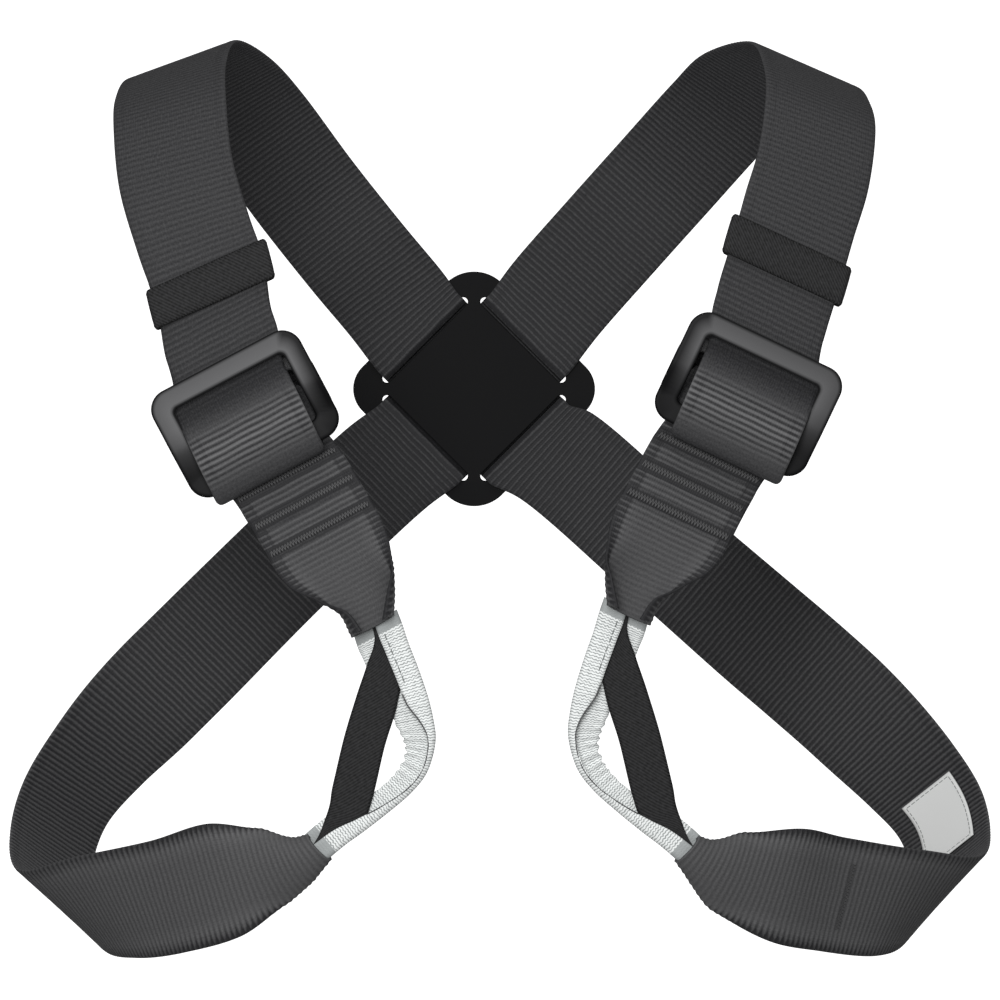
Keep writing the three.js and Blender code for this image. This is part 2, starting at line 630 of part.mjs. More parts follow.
// Stations in a loop's plane, whose width direction is square to the path and points to its bow
function planeStations(rows, plane, bowSide, shapeOf, endsOnLips) {
  const places = rows.map((row) => plane.at(row.along, row.bow * LOOP_BOW));
  const curve = new THREE.CatmullRomCurve3(places, false, 'centripetal');
  const controls = rows.map((row, i) => {
    const tangent = curve.getTangent(i / (rows.length - 1));
    const widthways = new THREE.Vector3().crossVectors(plane.facing, tangent);
    widthways.multiplyScalar(-bowSide);
    return { place: places[i], widthways, shape: shapeOf(row) };
  });
  if (endsOnLips) {
    controls[0].widthways = plane.tabLip;
    controls[1].widthways = plane.tabLip;
    controls.at(-1).widthways = plane.strapLip;
  }
  return follow(controls).map((station) => ({ ...station, outwards: plane.facing }));
}

function loopGeometry(underarm, buckle) {
  const plane = loopPlane(underarm, buckle);
  const shapeOf = (row) => new THREE.Vector3(row.back * LOOP_WIDTH, row.front * LOOP_WIDTH, 0);
  const stations = planeStations(LOOP, plane, buckle.side, shapeOf, true);
  return cloth(stations, foldSection, LOOP_THICK);
}

function bandGeometry(underarm, buckle) {
  const plane = loopPlane(underarm, buckle);
  const shapeOf = (row) => new THREE.Vector3(row.across, LEAST_CURL, 0.2);
  const stations = planeStations(BAND, plane, buckle.side, shapeOf, false);
  return cloth(stations, webSection(BAND_WIDTH), BAND_THICK);
}

function plateGeometry() {
  const half = PLATE_SIDE / 2;
  const shape = new THREE.Shape();
  // once the square stands on a corner, the first and third of its corners point up and down
  for (let i = 0; i < 4; i += 1) {
    const radius = i % 2 === 0 ? PLATE_CORNER : PLATE_SIDE_CORNER;
    const middle = (Math.PI / 2) * i + Math.PI / 4;
    const reach = Math.SQRT2 * (half - radius);
    const turn = Math.PI / 4;
    const x = reach * Math.cos(middle);
    const y = reach * Math.sin(middle);
    shape.absarc(x, y, radius, middle - turn, middle + turn);
  }
  for (let i = 0; i < 4; i += 1) {
    const slot = new THREE.Path();
    const angle = (Math.PI / 2) * i;
    const spot = (out, side) => [
      out * Math.cos(angle) - side * Math.sin(angle),
      out * Math.sin(angle) + side * Math.cos(angle),
    ];
    const endReach = (SLOT_LENGTH - SLOT_WIDTH) / 2;
    slot.absarc(...spot(slotMiddle, endReach), SLOT_WIDTH / 2, angle, angle + Math.PI);
    slot.absarc(...spot(slotMiddle, -endReach), SLOT_WIDTH / 2, angle + Math.PI, angle + Math.PI * 2);
    shape.holes.push(slot);
  }
  const geometry = new THREE.ExtrudeGeometry(shape, {
    depth: PLATE_THICK,
    bevelEnabled: false,
    curveSegments: 3,
  });
  geometry.rotateZ(Math.PI / 4);
  geometry.rotateX(Math.PI / 2);
  geometry.translate(0, PLATE_THICK, 0);
  return geometry;
}

const webbing = { color: 0x3a3a3c, roughness: 0.8, metalness: 0 };
const darkWebbing = { color: 0x303031, roughness: 0.85, metalness: 0 };
const finishes = {
  plate: { color: 0x1b1b1c, roughness: 0.55, metalness: 0 },
  webbing,
  darkWebbing,
  frame: { color: 0x4b4c4e, roughness: 0.42, metalness: 0.6 },
  loop: { color: 0xd9dcdb, roughness: 0.8, metalness: 0 },
  label: { color: 0xd5d6d6, roughness: 0.6, metalness: 0 },
};

const harness = new THREE.Group();

function addPiece(name, geometry, finish) {
  const piece = new THREE.Mesh(geometry, new THREE.MeshStandardMaterial(finish));
  piece.name = name;
  harness.add(piece);
}

addPiece('back_plate', plateGeometry(), finishes.plate);

// the right-shoulder strap lies against the plate and the left-shoulder strap crosses behind it
const behindPlate = PLATE_THICK + GAP + WEB_THICK / 2;
const sides = [
  {
    name: 'left',
    buckle: LEFT,
    shoulder: SHOULDER_LEFT,
    lower: UNDERARM_RIGHT,
    sameSideLower: UNDERARM_LEFT,
    depth: behindPlate + LAYER,
  },
  {
    name: 'right',
    buckle: RIGHT,
    shoulder: SHOULDER_RIGHT,
    lower: UNDERARM_LEFT,
    sameSideLower: UNDERARM_RIGHT,
    depth: behindPlate,
  },
];
const outerFrame = {
  height: FRAME_HEIGHT,
  bar: FRAME_BAR,
  play: FRAME_PLAY,
  centreDown: 0,
  centreOut: 0,
  bend: FRAME_BEND,
};
const innerFrame = {
  height: INNER_FRAME_HEIGHT,
  bar: INNER_FRAME_BAR,
  play: INNER_FRAME_PLAY,
  centreDown: INNER_FRAME_DOWN,
  centreOut: -innerSet,
  bend: 0,
};
for (const { name, buckle, shoulder, lower, sameSideLower, depth } of sides) {
  const webbed = (controls) => cloth(follow(controls), webSection(WEB_WIDTH), WEB_THICK);
  const strap = webbed(longStrap(lower, shoulder, buckle, depth));
  addPiece(`strap_${name}_shoulder`, strap, finishes.webbing);
  addPiece(`chest_tab_${name}`, webbed(tabControls(buckle)), finishes.webbing);
  addPiece(`buckle_frame_${name}`, frameGeometry(buckle, outerFrame), finishes.frame);
  addPiece(`inner_frame_${name}`, frameGeometry(buckle, innerFrame), finishes.frame);
  addPiece(`keeper_${name}`, keeperGeometry(shoulder, buckle), finishes.darkWebbing);
  // each loop joins its tab to the under-arm strap of its own side, which is the other long strap
  addPiece(`tie_in_loop_${name}`, loopGeometry(sameSideLower, buckle), finishes.loop);
  addPiece(`loop_band_${name}`, bandGeometry(sameSideLower, buckle), finishes.darkWebbing);
}

// the care label lies on the inner face of the right lower strap, near the under-arm bend
const labelled = UNDERARM_RIGHT.map((row) =>
  control(placeOf(row), leanVector(row.lean, LEFT.side, row.tip), row),
).reverse();
const rowsFromNeck = (row) => UNDERARM_RIGHT.length - 1 - row;
const labelStations = follow(labelled, rowsFromNeck(LABEL.lastRow), rowsFromNeck(LABEL.firstRow));
const labelSet = -(WEB_THICK / 2 + LABEL_GAP + LABEL_THICK / 2);
const labelSection = flatSection(LABEL.lowEdge * WEB_WIDTH, LABEL.highEdge * WEB_WIDTH, labelSet);
addPiece('care_label', cloth(labelStations, labelSection, LABEL_THICK), finishes.label);

// the origin is midway between the undersides of the two shoulder straps
const highest = (rows) => placeOf(rows.reduce((best, row) => (row.z > best.z ? row : best)));
const origin = highest(SHOULDER_LEFT).add(highest(SHOULDER_RIGHT)).multiplyScalar(0.5);
origin.z -= WEB_THICK / 2;
harness.position.copy(origin).negate();

export default harness;
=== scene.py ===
# %% [markdown]
# # A climbing chest harness
# Two long webbing straps cross behind a plate on the back, come over the shoulders and under the
# arms, and meet again on the chest in buckles, sewn tabs and two pale folded loops. The CAD part
# fixes where everything is. This notebook gives each piece its finer shape and its finish.

import bpy
import numpy as np
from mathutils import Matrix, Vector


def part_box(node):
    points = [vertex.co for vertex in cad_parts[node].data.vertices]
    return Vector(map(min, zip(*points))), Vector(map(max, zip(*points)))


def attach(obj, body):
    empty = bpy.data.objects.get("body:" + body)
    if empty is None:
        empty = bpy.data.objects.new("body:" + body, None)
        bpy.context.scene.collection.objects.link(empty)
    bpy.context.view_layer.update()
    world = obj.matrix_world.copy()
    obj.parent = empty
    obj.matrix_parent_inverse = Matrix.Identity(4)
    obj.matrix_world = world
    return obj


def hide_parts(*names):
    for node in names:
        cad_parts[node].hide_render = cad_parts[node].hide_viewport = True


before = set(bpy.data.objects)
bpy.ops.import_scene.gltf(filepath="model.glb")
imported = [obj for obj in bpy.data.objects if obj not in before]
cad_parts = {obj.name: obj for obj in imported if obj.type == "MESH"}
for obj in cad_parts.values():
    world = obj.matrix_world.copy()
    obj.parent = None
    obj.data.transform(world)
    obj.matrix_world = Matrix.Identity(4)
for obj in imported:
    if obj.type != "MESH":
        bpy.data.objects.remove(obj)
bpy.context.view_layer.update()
print("CAD nodes:", ", ".join(sorted(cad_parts)))

# %% [markdown]
# ## The camera
# The picture was taken from straight ahead with a long lens: the webbing on the chest is only
# about five percent wider than on the back, though it is nearer by the depth of a body. A pinhole
# camera three metres away gives the same growth. It is made first, since all looks are judged
# through it.

# %% Camera
MM = 0.001
# the camera's place from the plate's chest side, half of what it sees there, and its sensor, in mm
CAMERA_FROM_PLATE = np.array([10.4, -3078.0, -44.6])
HALF_FRAME = 200.7
SENSOR_WIDTH = 36.0
FARTHEST_SEEN = 50.0
plate_low, plate_high = (np.array(corner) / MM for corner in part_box("back_plate"))
plate_middle = (plate_low + plate_high) / 2
plate_middle[1] = plate_low[1]
camera_distance = -CAMERA_FROM_PLATE[1]

camera_data = bpy.data.cameras.new("camera")
camera_data.sensor_width = SENSOR_WIDTH
camera_data.lens = SENSOR_WIDTH / 2 * camera_distance / HALF_FRAME
camera_data.clip_end = FARTHEST_SEEN
camera = bpy.data.objects.new("camera", camera_data)
camera.location = (plate_middle + CAMERA_FROM_PLATE) * MM
camera.rotation_euler = (np.pi / 2, 0.0, 0.0)
bpy.context.collection.objects.link(camera)
bpy.context.scene.camera = camera
print(f"lens {camera_data.lens:.0f} mm, {camera_distance * MM:.2f} m from the plate")

# %% [markdown]
# ## Small tools for surfaces
# Every soft piece here is a section carried along a path. The path is a smooth curve through a
# few control points, and the same curve carries the direction of the cloth's width and the shape
# of its section. All of it is worked out as whole arrays, in millimetres.

# %% Vectors and curves
TOO_CLOSE = 1e-4
SAMPLES_PER_CONTROL = 60


def unit(vectors):
    """Each row divided by its length."""
    return vectors / np.linalg.norm(vectors, axis=-1, keepdims=True)


def smooth_curve(points, where, even=False):
    """A Catmull-Rom curve through points, at the positions where (0 is the first point).
    The slope at a point is taken from its neighbours: evenly, or by the square roots of the
    distances between them, which keeps a curve with close points free of loops.
    Gives the places and the tangents."""
    ends = [2 * points[:1] - points[1:2], points, 2 * points[-1:] - points[-2:-1]]
    padded = np.vstack(ends)
    span = np.clip(np.floor(where).astype(int), 0, len(points) - 2)
    w = (where - span)[:, None]
    before, here, there, after = (padded[span + i] for i in range(4))
    if even:
        slope_here = 0.5 * (there - before)
        slope_there = 0.5 * (after - here)
    else:
        gaps = [np.linalg.norm(q - p, axis=1, keepdims=True) ** 0.5
                for p, q in ((before, here), (here, there), (there, after))]
        mid = np.where(gaps[1] < TOO_CLOSE, 1.0, gaps[1])
        first = np.where(gaps[0] < TOO_CLOSE, mid, gaps[0])
        last = np.where(gaps[2] < TOO_CLOSE, mid, gaps[2])
        slope_here = mid * ((here - before) / first - (there - before) / (first + mid)
                            + (there - here) / mid)
        slope_there = mid * ((there - here) / mid - (after - here) / (mid + last)
                             + (after - there) / last)
    square = -3 * here + 3 * there - 2 * slope_here - slope_there
    cube = 2 * here - 2 * there + slope_here + slope_there
    place = here + slope_here * w + square * w**2 + cube * w**3
    tangent = slope_here + 2 * square * w + 3 * cube * w**2
    return place, unit(tangent)


print("curve tools ready")


# %% A strip's path
class Track:
    """A strip of cloth's path: control places, width directions and section shapes. The width
    directions and shapes follow the same curve as the places. facing, where it is given, is
    the outward direction all along."""

    def __init__(self, places, widths, shapes, width, thick, facing=None):
        self.places = np.array(places, float)
        self.widths = np.array(widths, float)
        self.shapes = np.array(shapes, float)
        self.width = width
        self.thick = thick
        self.facing = facing
        steps = np.linspace(0, len(self.places) - 1, SAMPLES_PER_CONTROL * len(self.places))
        chords = np.diff(smooth_curve(self.places, steps)[0], axis=0)
        self.run = np.concatenate([[0], np.cumsum(np.linalg.norm(chords, axis=1))])
        self.steps = steps
        self.length = self.run[-1]

    def along(self, position):
        """The distance along the strip at a control's number, such as 3.5."""
        return np.interp(position, self.steps, self.run)

    def stations(self, along):
        """Place, width direction, outward direction and shape at distances along the strip."""
        where = np.interp(along, self.run, self.steps)
        place, tangent = smooth_curve(self.places, where)
        across = unit(smooth_curve(self.widths, where, even=True)[0])
        shape = smooth_curve(self.shapes, where, even=True)[0]
        if self.facing is None:
            out = unit(np.cross(tangent, across))
        else:
            out = np.broadcast_to(self.facing, place.shape)
        return place, across, out, shape


print("path tools ready")

# %% [markdown]
# ## From arrays to meshes
# A strip's mesh is a grid: one ring of points round its section for each station along it. The
# rings share their edge points, so the cloth has a soft rounded selvedge. Distances across and
# along the cloth are kept as its UV map, in millimetres, so that a weave can follow the surface.


# %% Mesh tools
def ring_faces(rows, ring, closed=False):
    """Quads between neighbouring rings of a grid, the last ring joined to the first if closed."""
    row = np.arange(rows if closed else rows - 1)[:, None]
    column = np.arange(ring)[None, :]
    after, beside = (row + 1) % rows, (column + 1) % ring
    corners = [row * ring + column, after * ring + column, after * ring + beside,
               row * ring + beside]
    return np.stack(np.broadcast_arrays(*corners), -1).reshape(-1, 4)


def end_faces(ring, start, turned):
    """Covers one end ring, front points against back points, with quads and two triangles."""
    front = np.arange(1, ring // 2 - 1)
    quads = np.stack([front, front + 1, ring - front - 1, ring - front], -1)
    half = ring // 2
    triangles = np.array([[0, 1, ring - 1], [half, half + 1, half - 1]])
    if turned:
        quads, triangles = quads[:, ::-1], triangles[:, ::-1]
    return [start + quads, start + triangles]


def signed_volume(points, faces):
    """Six times the volume inside, negative if the faces point inwards."""
    a, b, c = (points[faces[:, i]] for i in (0, 1, 2))
    total = np.einsum("ij,ij->", a, np.cross(b, c))
    if faces.shape[1] == 4:
        d = points[faces[:, 3]]
        total += np.einsum("ij,ij->", a, np.cross(c, d))
    return total


print("face tools ready")


# %% From arrays to a piece
def add_piece(name, points, face_sets, material, uv=None, stands_for=None,
              shade=None):
    """Puts points (mm) and faces into a new mesh that rides on the harness. shade is a number
    for each point, kept as an attribute for the material."""
    if sum(signed_volume(points, faces) for faces in face_sets) < 0:
        face_sets = [faces[:, ::-1] for faces in face_sets]
    loops = np.concatenate([faces.ravel() for faces in face_sets])
    sizes = np.concatenate([np.full(len(faces), faces.shape[1]) for faces in face_sets])
    mesh = bpy.data.meshes.new(name)
    mesh.vertices.add(len(points))
    mesh.vertices.foreach_set("co", (points * MM).astype(np.float32).ravel())
    mesh.loops.add(len(loops))
    mesh.loops.foreach_set("vertex_index", loops.astype(np.int32))
    mesh.polygons.add(len(sizes))
    starts = np.concatenate([[0], np.cumsum(sizes)[:-1]]).astype(np.int32)
    mesh.polygons.foreach_set("loop_start", starts)
    mesh.polygons.foreach_set("use_smooth", np.ones(len(sizes), bool))
    mesh.update(calc_edges=True)
    if uv is not None:
        layer = mesh.uv_layers.new(name="cloth")
        layer.data.foreach_set("uv", uv[loops].astype(np.float32).ravel())
    if shade is not None:
        layer = mesh.attributes.new("shade", "FLOAT", "POINT")
        layer.data.foreach_set("value", np.asarray(shade, np.float32).ravel())
    mesh.validate()
    mesh.materials.append(material)
    piece = bpy.data.objects.new(name, mesh)
    bpy.context.collection.objects.link(piece)
    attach(piece, "root")
    if stands_for:
        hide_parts(stands_for)
    triangles = sum(len(faces) * (faces.shape[1] - 2) for faces in face_sets)
    print(f"{name}: {triangles} triangles")
    return piece


print("piece tools ready")

# %% [markdown]
# ## Material tools
# Materials are built from nodes in code. One small function adds a node with its settings and
# links, and another turns the usual sRGB hex colours into the linear values that Blender mixes.


# %% Node and colour tools
def linear(hex_code):
    """sRGB hex to linear: the standard curve, with its straight part near black."""
    srgb = np.array([int(hex_code[i:i + 2], 16) for i in (1, 3, 5)]) / 255
    curve = np.where(srgb <= 0.04045, srgb / 12.92, ((srgb + 0.055) / 1.055) ** 2.4)
    return (*[float(v) for v in curve], 1.0)


def add_node(tree, kind, inputs=None, **settings):
    """Adds a node. inputs names sockets: a value is set on them and an output is linked."""
    node = tree.nodes.new(kind)
    for key, value in settings.items():
        setattr(node, key, value)
    for socket, value in (inputs or {}).items():
        if isinstance(value, bpy.types.NodeSocket):
            tree.links.new(value, node.inputs[socket])
        else:
            node.inputs[socket].default_value = value
    return node


def new_material(name, **values):
    """A material with only a Principled BSDF, and values for its sockets."""
    material = bpy.data.materials.new(name)
    material.use_nodes = True
    shader = material.node_tree.nodes["Principled BSDF"]
    for socket, value in values.items():
        shader.inputs[socket.replace("_", " ")].default_value = value
    return material, material.node_tree, shader


print("black webbing in linear light:", [round(v, 4) for v in linear("#3c3c3e")[:3]])

# %% [markdown]
# ## Webbing
# The straps are woven from black polyester on a narrow loom. Thick weft cords lie side by side
# across the strap and the warp passes over them, so the face is a row of ribs, 2.25 mm apart,
# with matt valleys between them. Polyester yarn is soft and slightly glossy, so crests catch the
# light. The ribs themselves are in the mesh. The material adds the yarns, and the painted light
# and shade that each point keeps, which darkens the valleys.

# %% Webbing material
# lengths in mm; a yarn is about half a millimetre wide, and is drawn coarser so that it shows
RIB_PITCH = 2.25
YARN_PITCH = 0.9
# how much the yarns lift the bump beside the noise, and the noise's detail
YARN_LIFT = 0.3
GRAIN_DETAIL = 2.0
GRAIN_ROUGHNESS = 0.6
WEAVE_BUMP = 0.6
TAU = 2 * np.pi


def woven_material(name, crest, valley, yarn_pitch, roughness, relief, speckle=0.4,
                   specular=0.25, slant=0.0, twill=0.0):
    """A crest colour and a valley colour, mixed by the painted shade that each point keeps, which
    darkens the weave's valleys and lightens or darkens whole stretches, and broken up by a fine
    noise. The yarns are a sine of the distance across plus slant times the distance along: a bump,
    and lines of the colour as strong as twill says."""
    material, tree, shader = new_material(name, Roughness=roughness,
                                          Specular_IOR_Level=specular)
    place = add_node(tree, "ShaderNodeUVMap", uv_map="cloth").outputs[0]
    parts = add_node(tree, "ShaderNodeSeparateXYZ", {0: place})
    depth = add_node(tree, "ShaderNodeAttribute", attribute_name="shade").outputs["Fac"]
    grain = add_node(tree, "ShaderNodeTexNoise", {0: place, "Scale": 1 / yarn_pitch,
                                                  "Detail": GRAIN_DETAIL,
                                                  "Roughness": GRAIN_ROUGHNESS})
    broken = add_node(tree, "ShaderNodeMath", {0: grain.outputs[0], 1: speckle, 2: -speckle / 2},
                      operation="MULTIPLY_ADD")
    skewed = add_node(tree, "ShaderNodeMath", {0: parts.outputs[1], 1: slant,
                                               2: parts.outputs[0]}, operation="MULTIPLY_ADD")
    yarn_turn = add_node(tree, "ShaderNodeMath", {0: skewed.outputs[0], 1: TAU / yarn_pitch},
                         operation="MULTIPLY")
    yarn = add_node(tree, "ShaderNodeMath", {0: yarn_turn.outputs[0]}, operation="SINE")
    lines = add_node(tree, "ShaderNodeMath", {0: yarn.outputs[0], 1: -twill, 2: depth},
                     operation="MULTIPLY_ADD")
    share = add_node(tree, "ShaderNodeMath", {0: lines.outputs[0], 1: broken.outputs[0]},
                     operation="ADD", use_clamp=True)
    colour = add_node(tree, "ShaderNodeMix", {0: share.outputs[0], 6: linear(crest),
                                              7: linear(valley)}, data_type="RGBA")
    tree.links.new(colour.outputs[2], shader.inputs["Base Color"])
    height = add_node(tree, "ShaderNodeMath", {0: yarn.outputs[0], 1: YARN_LIFT,
                                               2: grain.outputs[0]}, operation="MULTIPLY_ADD")
    bump = add_node(tree, "ShaderNodeBump", {"Height": height.outputs[0],
                                             "Strength": WEAVE_BUMP, "Distance": relief * MM})
    tree.links.new(bump.outputs[0], shader.inputs["Normal"])
    return material


# the crest colour, and the near black that painted shade mixes in
webbing = woven_material("woven polyester webbing", "#6b6b6c", "#1f1f21", YARN_PITCH,
                         roughness=0.65, relief=0.12)
print("webbing:", webbing.name)

# %% [markdown]
# ## Where the straps run
# The plate on the back is the reference. The rows below say where each strap passes, as shares
# of the harness's reach from the plate: sideways, towards the chest, and up or down. The lean
# tells how far the webbing's width turns, and near the necks the section narrows and curls. Few
# rows are enough, because the curve between them is as smooth as webbing under tension.

# %% Reach, in mm
HALF_SPAN = 192.0
SHOULDER_RISE = 137.0
UNDERARM_DROP = 224.0
BODY_DEPTH = 157.0
WEB_WIDTH = 45.0
WEB_THICK = 1.8
GAP = 0.35
LAYER = WEB_THICK + GAP
PLATE_THICK = plate_high[1] - plate_low[1]
FLAT = (1.0, 2.0, 0.1)
print("plate thickness", round(PLATE_THICK, 2), "mm")

# %% The straps' rows
# columns: sideways, towards the chest, up, lean in degrees, tip of the width in depth, then share
# of the width that shows, curl of the edges in degrees, depth of the curl over its half width
SHOULDER_LEFT = [
    (-0.161, 0.012, 0.246, 37.8, 0, *FLAT), (-0.241, 0.036, 0.38, 37.8, 0, *FLAT),
    (-0.344, 0.064, 0.561, 37.5, 0, *FLAT), (-0.45, 0.166, 0.76, 34, 0, *FLAT),
    (-0.523, 0.306, 0.876, 26, 0, *FLAT), (-0.59, 0.497, 0.928, 20.6, 0, *FLAT),
    (-0.61, 0.688, 0.86, 17.5, 0, *FLAT), (-0.608, 0.809, 0.763, 15.8, 0, *FLAT),
    (-0.592, 0.898, 0.583, 16, 0, *FLAT), (-0.556, 0.936, 0.414, 19, 0, *FLAT),
    (-0.522, 0.955, 0.276, 24, 0, *FLAT),
]
SHOULDER_RIGHT = [
    (0.172, 0.012, 0.265, 41.5, 0, *FLAT), (0.282, 0.036, 0.44, 41.5, 0, *FLAT),
    (0.393, 0.064, 0.613, 41, 0, *FLAT), (0.504, 0.166, 0.784, 37, 0, *FLAT),
    (0.573, 0.306, 0.878, 30, 0, *FLAT), (0.667, 0.497, 0.915, 24.2, 0, *FLAT),
    (0.693, 0.688, 0.851, 21.5, 0, *FLAT), (0.697, 0.809, 0.764, 20, 0, *FLAT),
    (0.679, 0.898, 0.597, 20.5, 0, *FLAT), (0.651, 0.936, 0.47, 23, 0, *FLAT),
    (0.625, 0.955, 0.343, 25, 0, *FLAT),
]
UNDERARM_LEFT = [
    (-0.184, 0.012, -0.143, 45.5, 0, *FLAT), (-0.409, 0.036, -0.327, 45, 0, *FLAT),
    (-0.584, 0.057, -0.477, 44.5, 0, 1.02, 2, 0.1),
    (-0.673, 0.076, -0.554, 43, 0.1, 1.02, 2, 0.1), (-0.776, 0.121, -0.651, 38, 0.45, *FLAT),
    (-0.846, 0.217, -0.738, 35, 0.7, *FLAT), (-0.868, 0.357, -0.829, 38, 0.6, *FLAT),
    (-0.838, 0.535, -0.91, 43.5, 0.2, *FLAT), (-0.736, 0.701, -0.902, 62, 0, *FLAT),
    (-0.615, 0.815, -0.881, 73, 0, *FLAT), (-0.496, 0.898, -0.849, 73, 0, 1, 14, 0.3),
    (-0.406, 0.943, -0.827, 68, 0, 0.66, 92, 0.42),
    (-0.347, 0.968, -0.814, 58, 0, 0.4, 140, 0.56),
    (-0.309, 0.981, -0.794, 47, 0, 0.27, 150, 0.68),
]
UNDERARM_RIGHT = [
    (0.169, 0.012, -0.119, 49, 0, *FLAT), (0.388, 0.036, -0.281, 49, 0, *FLAT),
    (0.596, 0.057, -0.436, 49, 0, 1.03, 2, 0.1), (0.69, 0.07, -0.505, 48.5, 0, 1.03, 2, 0.1),
    (0.783, 0.096, -0.577, 47.5, 0.1, 1.02, 2, 0.1), (0.908, 0.166, -0.689, 42, 0.45, *FLAT),
    (0.965, 0.261, -0.759, 39, 0.65, *FLAT), (0.977, 0.382, -0.835, 41, 0.5, *FLAT),
    (0.953, 0.535, -0.893, 49, 0.15, *FLAT), (0.861, 0.688, -0.896, 66, 0, *FLAT),
    (0.722, 0.803, -0.877, 76, 0, *FLAT), (0.625, 0.885, -0.858, 73, 0, 1, 14, 0.3),
    (0.519, 0.943, -0.837, 66, 0, 0.7, 90, 0.42), (0.464, 0.968, -0.818, 57, 0, 0.4, 140, 0.56),
    (0.43, 0.981, -0.797, 47, 0, 0.27, 150, 0.68),
]
print("rows of the shoulders and under the arms:", len(SHOULDER_LEFT), len(SHOULDER_RIGHT),
      len(UNDERARM_LEFT), len(UNDERARM_RIGHT))


# %% From rows to places
def lean_vector(degrees, side, tip=0.0):
    """The width direction of a strap that leans that far, on the left (-1) or right (1), and
    tips that much in depth."""
    angle = np.radians(degrees)
    return unit(np.stack([np.cos(angle), tip * side + 0 * angle, -side * np.sin(angle)], -1))


def row_places(rows):
    """Places of the rows in the frame, in mm."""
    table = np.array(rows)
    height = np.where(table[:, 2] > 0, SHOULDER_RISE, UNDERARM_DROP)
    offsets = np.stack([table[:, 0] * HALF_SPAN, -table[:, 1] * BODY_DEPTH,
                        table[:, 2] * height], -1)
    return plate_middle + offsets


print("shoulder strap's highest row at", row_places(SHOULDER_LEFT)[5].round(1))

# %% [markdown]
# ## The way through a buckle
# A strap with a two-frame buckle comes down behind the top bar of the outer frame, bulges out
# through the opening, folds under the lower bar and goes back up behind, through the hidden inner
# frame. Its tail lies behind the strap, in the elastic keeper. The roll in the opening is what
# the eye sees, so the rows follow it closely.

# %% Buckle sizes, in mm
FRAME_BAR = 8.3
FRAME_SIDE_BAR = 7.6
FRAME_THICK = 4.0
FRAME_HEIGHT = 45.0
FRAME_PLAY = 1.7
FRAME_BEND = 4.0
FRAME_CORNER = 8.0
OPENING_CORNER = 2.2
OPENING_LIP = 0.5
INNER_HEIGHT = 30.0
INNER_BAR = 6.0
INNER_PLAY = 1.7
INNER_DOWN = 2.0
INNER_SLACK = 1.5
FRAME_WIDTH = WEB_WIDTH + 2 * (FRAME_PLAY + FRAME_SIDE_BAR)
# side, place as shares of the reach, lean in degrees, drop to the tab's neck in mm
LEFT = {"side": -1, "x": -0.4525, "y": 0.975, "z": -0.086, "lean": 27.9, "drop": 94.9}
RIGHT = {"side": 1, "x": 0.548, "y": 0.975, "z": -0.031, "lean": 25.4, "drop": 96.2}
bar_clear = FRAME_THICK / 2 + GAP + WEB_THICK / 2
inner_set = (FRAME_BEND + bar_clear + 1.5 * WEB_THICK + 2 * GAP + FRAME_THICK / 2
             + INNER_SLACK)
print("inner frame set back by", round(inner_set, 2), "mm")

# %% The roll through a buckle
# columns: down in half heights, aside in plays, ride in bar clearances, bend, way to the inner.
# The cloth that goes back up spreads to nearly fill the openings.
BUCKLE_ROLL = np.array([
    (-1.5, 3.4, -1.1, 0, 0), (-1.0, 2.1, -1.05, 0, 0), (-0.66, -0.1, -1.05, 0, 0),
    (-0.45, -0.6, -0.5, 0, 0), (-0.17, -0.75, 0.65, 0, 0), (0.18, -0.9, 1.35, 0, 0),
    (0.55, -1.1, 1.35, 0.15, 0), (0.86, -1.25, 1, 0.5, 0), (1.09, -1.4, 0.5, 0.85, 0),
    (1.15, -1.45, -0.1, 1, 0), (1.1, -1.35, -0.7, 1, 0), (0.9, -0.7, -1.12, 1, 0),
    (0.55, 0.0, -1.1, 1, 0), (0.27, 0.1, -1.1, 1, 0.1), (0.045, 0, -1.1, 1, 0.5),
    (-0.165, 0, -1.1, 1, 0.93), (-0.38, 0.2, -1.1, 1, 1.02), (-0.68, 0.5, -1.1, 1, 0.97),
    (-1.05, 1.9, -1.1, 1, 0.5), (-1.48, 3.4, -1.1, 0.62, 0),
])
print("rows of the roll:", len(BUCKLE_ROLL))


# %% A buckle's axes
class Buckle:
    """A buckle's own axes: inwards to the middle of the chest, down, and out from the chest."""

    def __init__(self, side, x, y, z, lean, drop):
        self.side = side
        self.drop = drop
        self.across = lean_vector(lean, side)
        self.down = np.array([-side * abs(self.across[2]), 0, -self.across[0]])
        self.inwards = -side * self.across
        offset = [x * HALF_SPAN, -y * BODY_DEPTH, z * SHOULDER_RISE]
        self.centre = plate_middle + np.array(offset)

    def at(self, aside, down, out):
        """A place from distances inwards, down and out from the buckle's centre."""
        aside, down, out = np.broadcast_arrays(aside, down, out)
        return (self.centre + aside[..., None] * self.inwards + down[..., None] * self.down
                + out[..., None] * np.array([0, -1.0, 0]))


buckles = {"left": Buckle(**LEFT), "right": Buckle(**RIGHT)}
print("buckle centres:", *[buckle.centre.round(1) for buckle in buckles.values()])

# %% [markdown]
# ## The way through the plate
# Each strap passes from the body side of the plate through a slot, across the plate's back, and
# out of the opposite slot. Short quarter bends of small radius take it through, and a straight
# run before and after them keeps the curve from swinging out.

# %% Through the plate's slots
SLOT_FROM_CENTRE = 26.0
SLOT_WIDTH = 3.6
SLOT_BEND = 1.8
SLOT_RUN = 2.2
slot_middle = SLOT_FROM_CENTRE + SLOT_WIDTH / 2


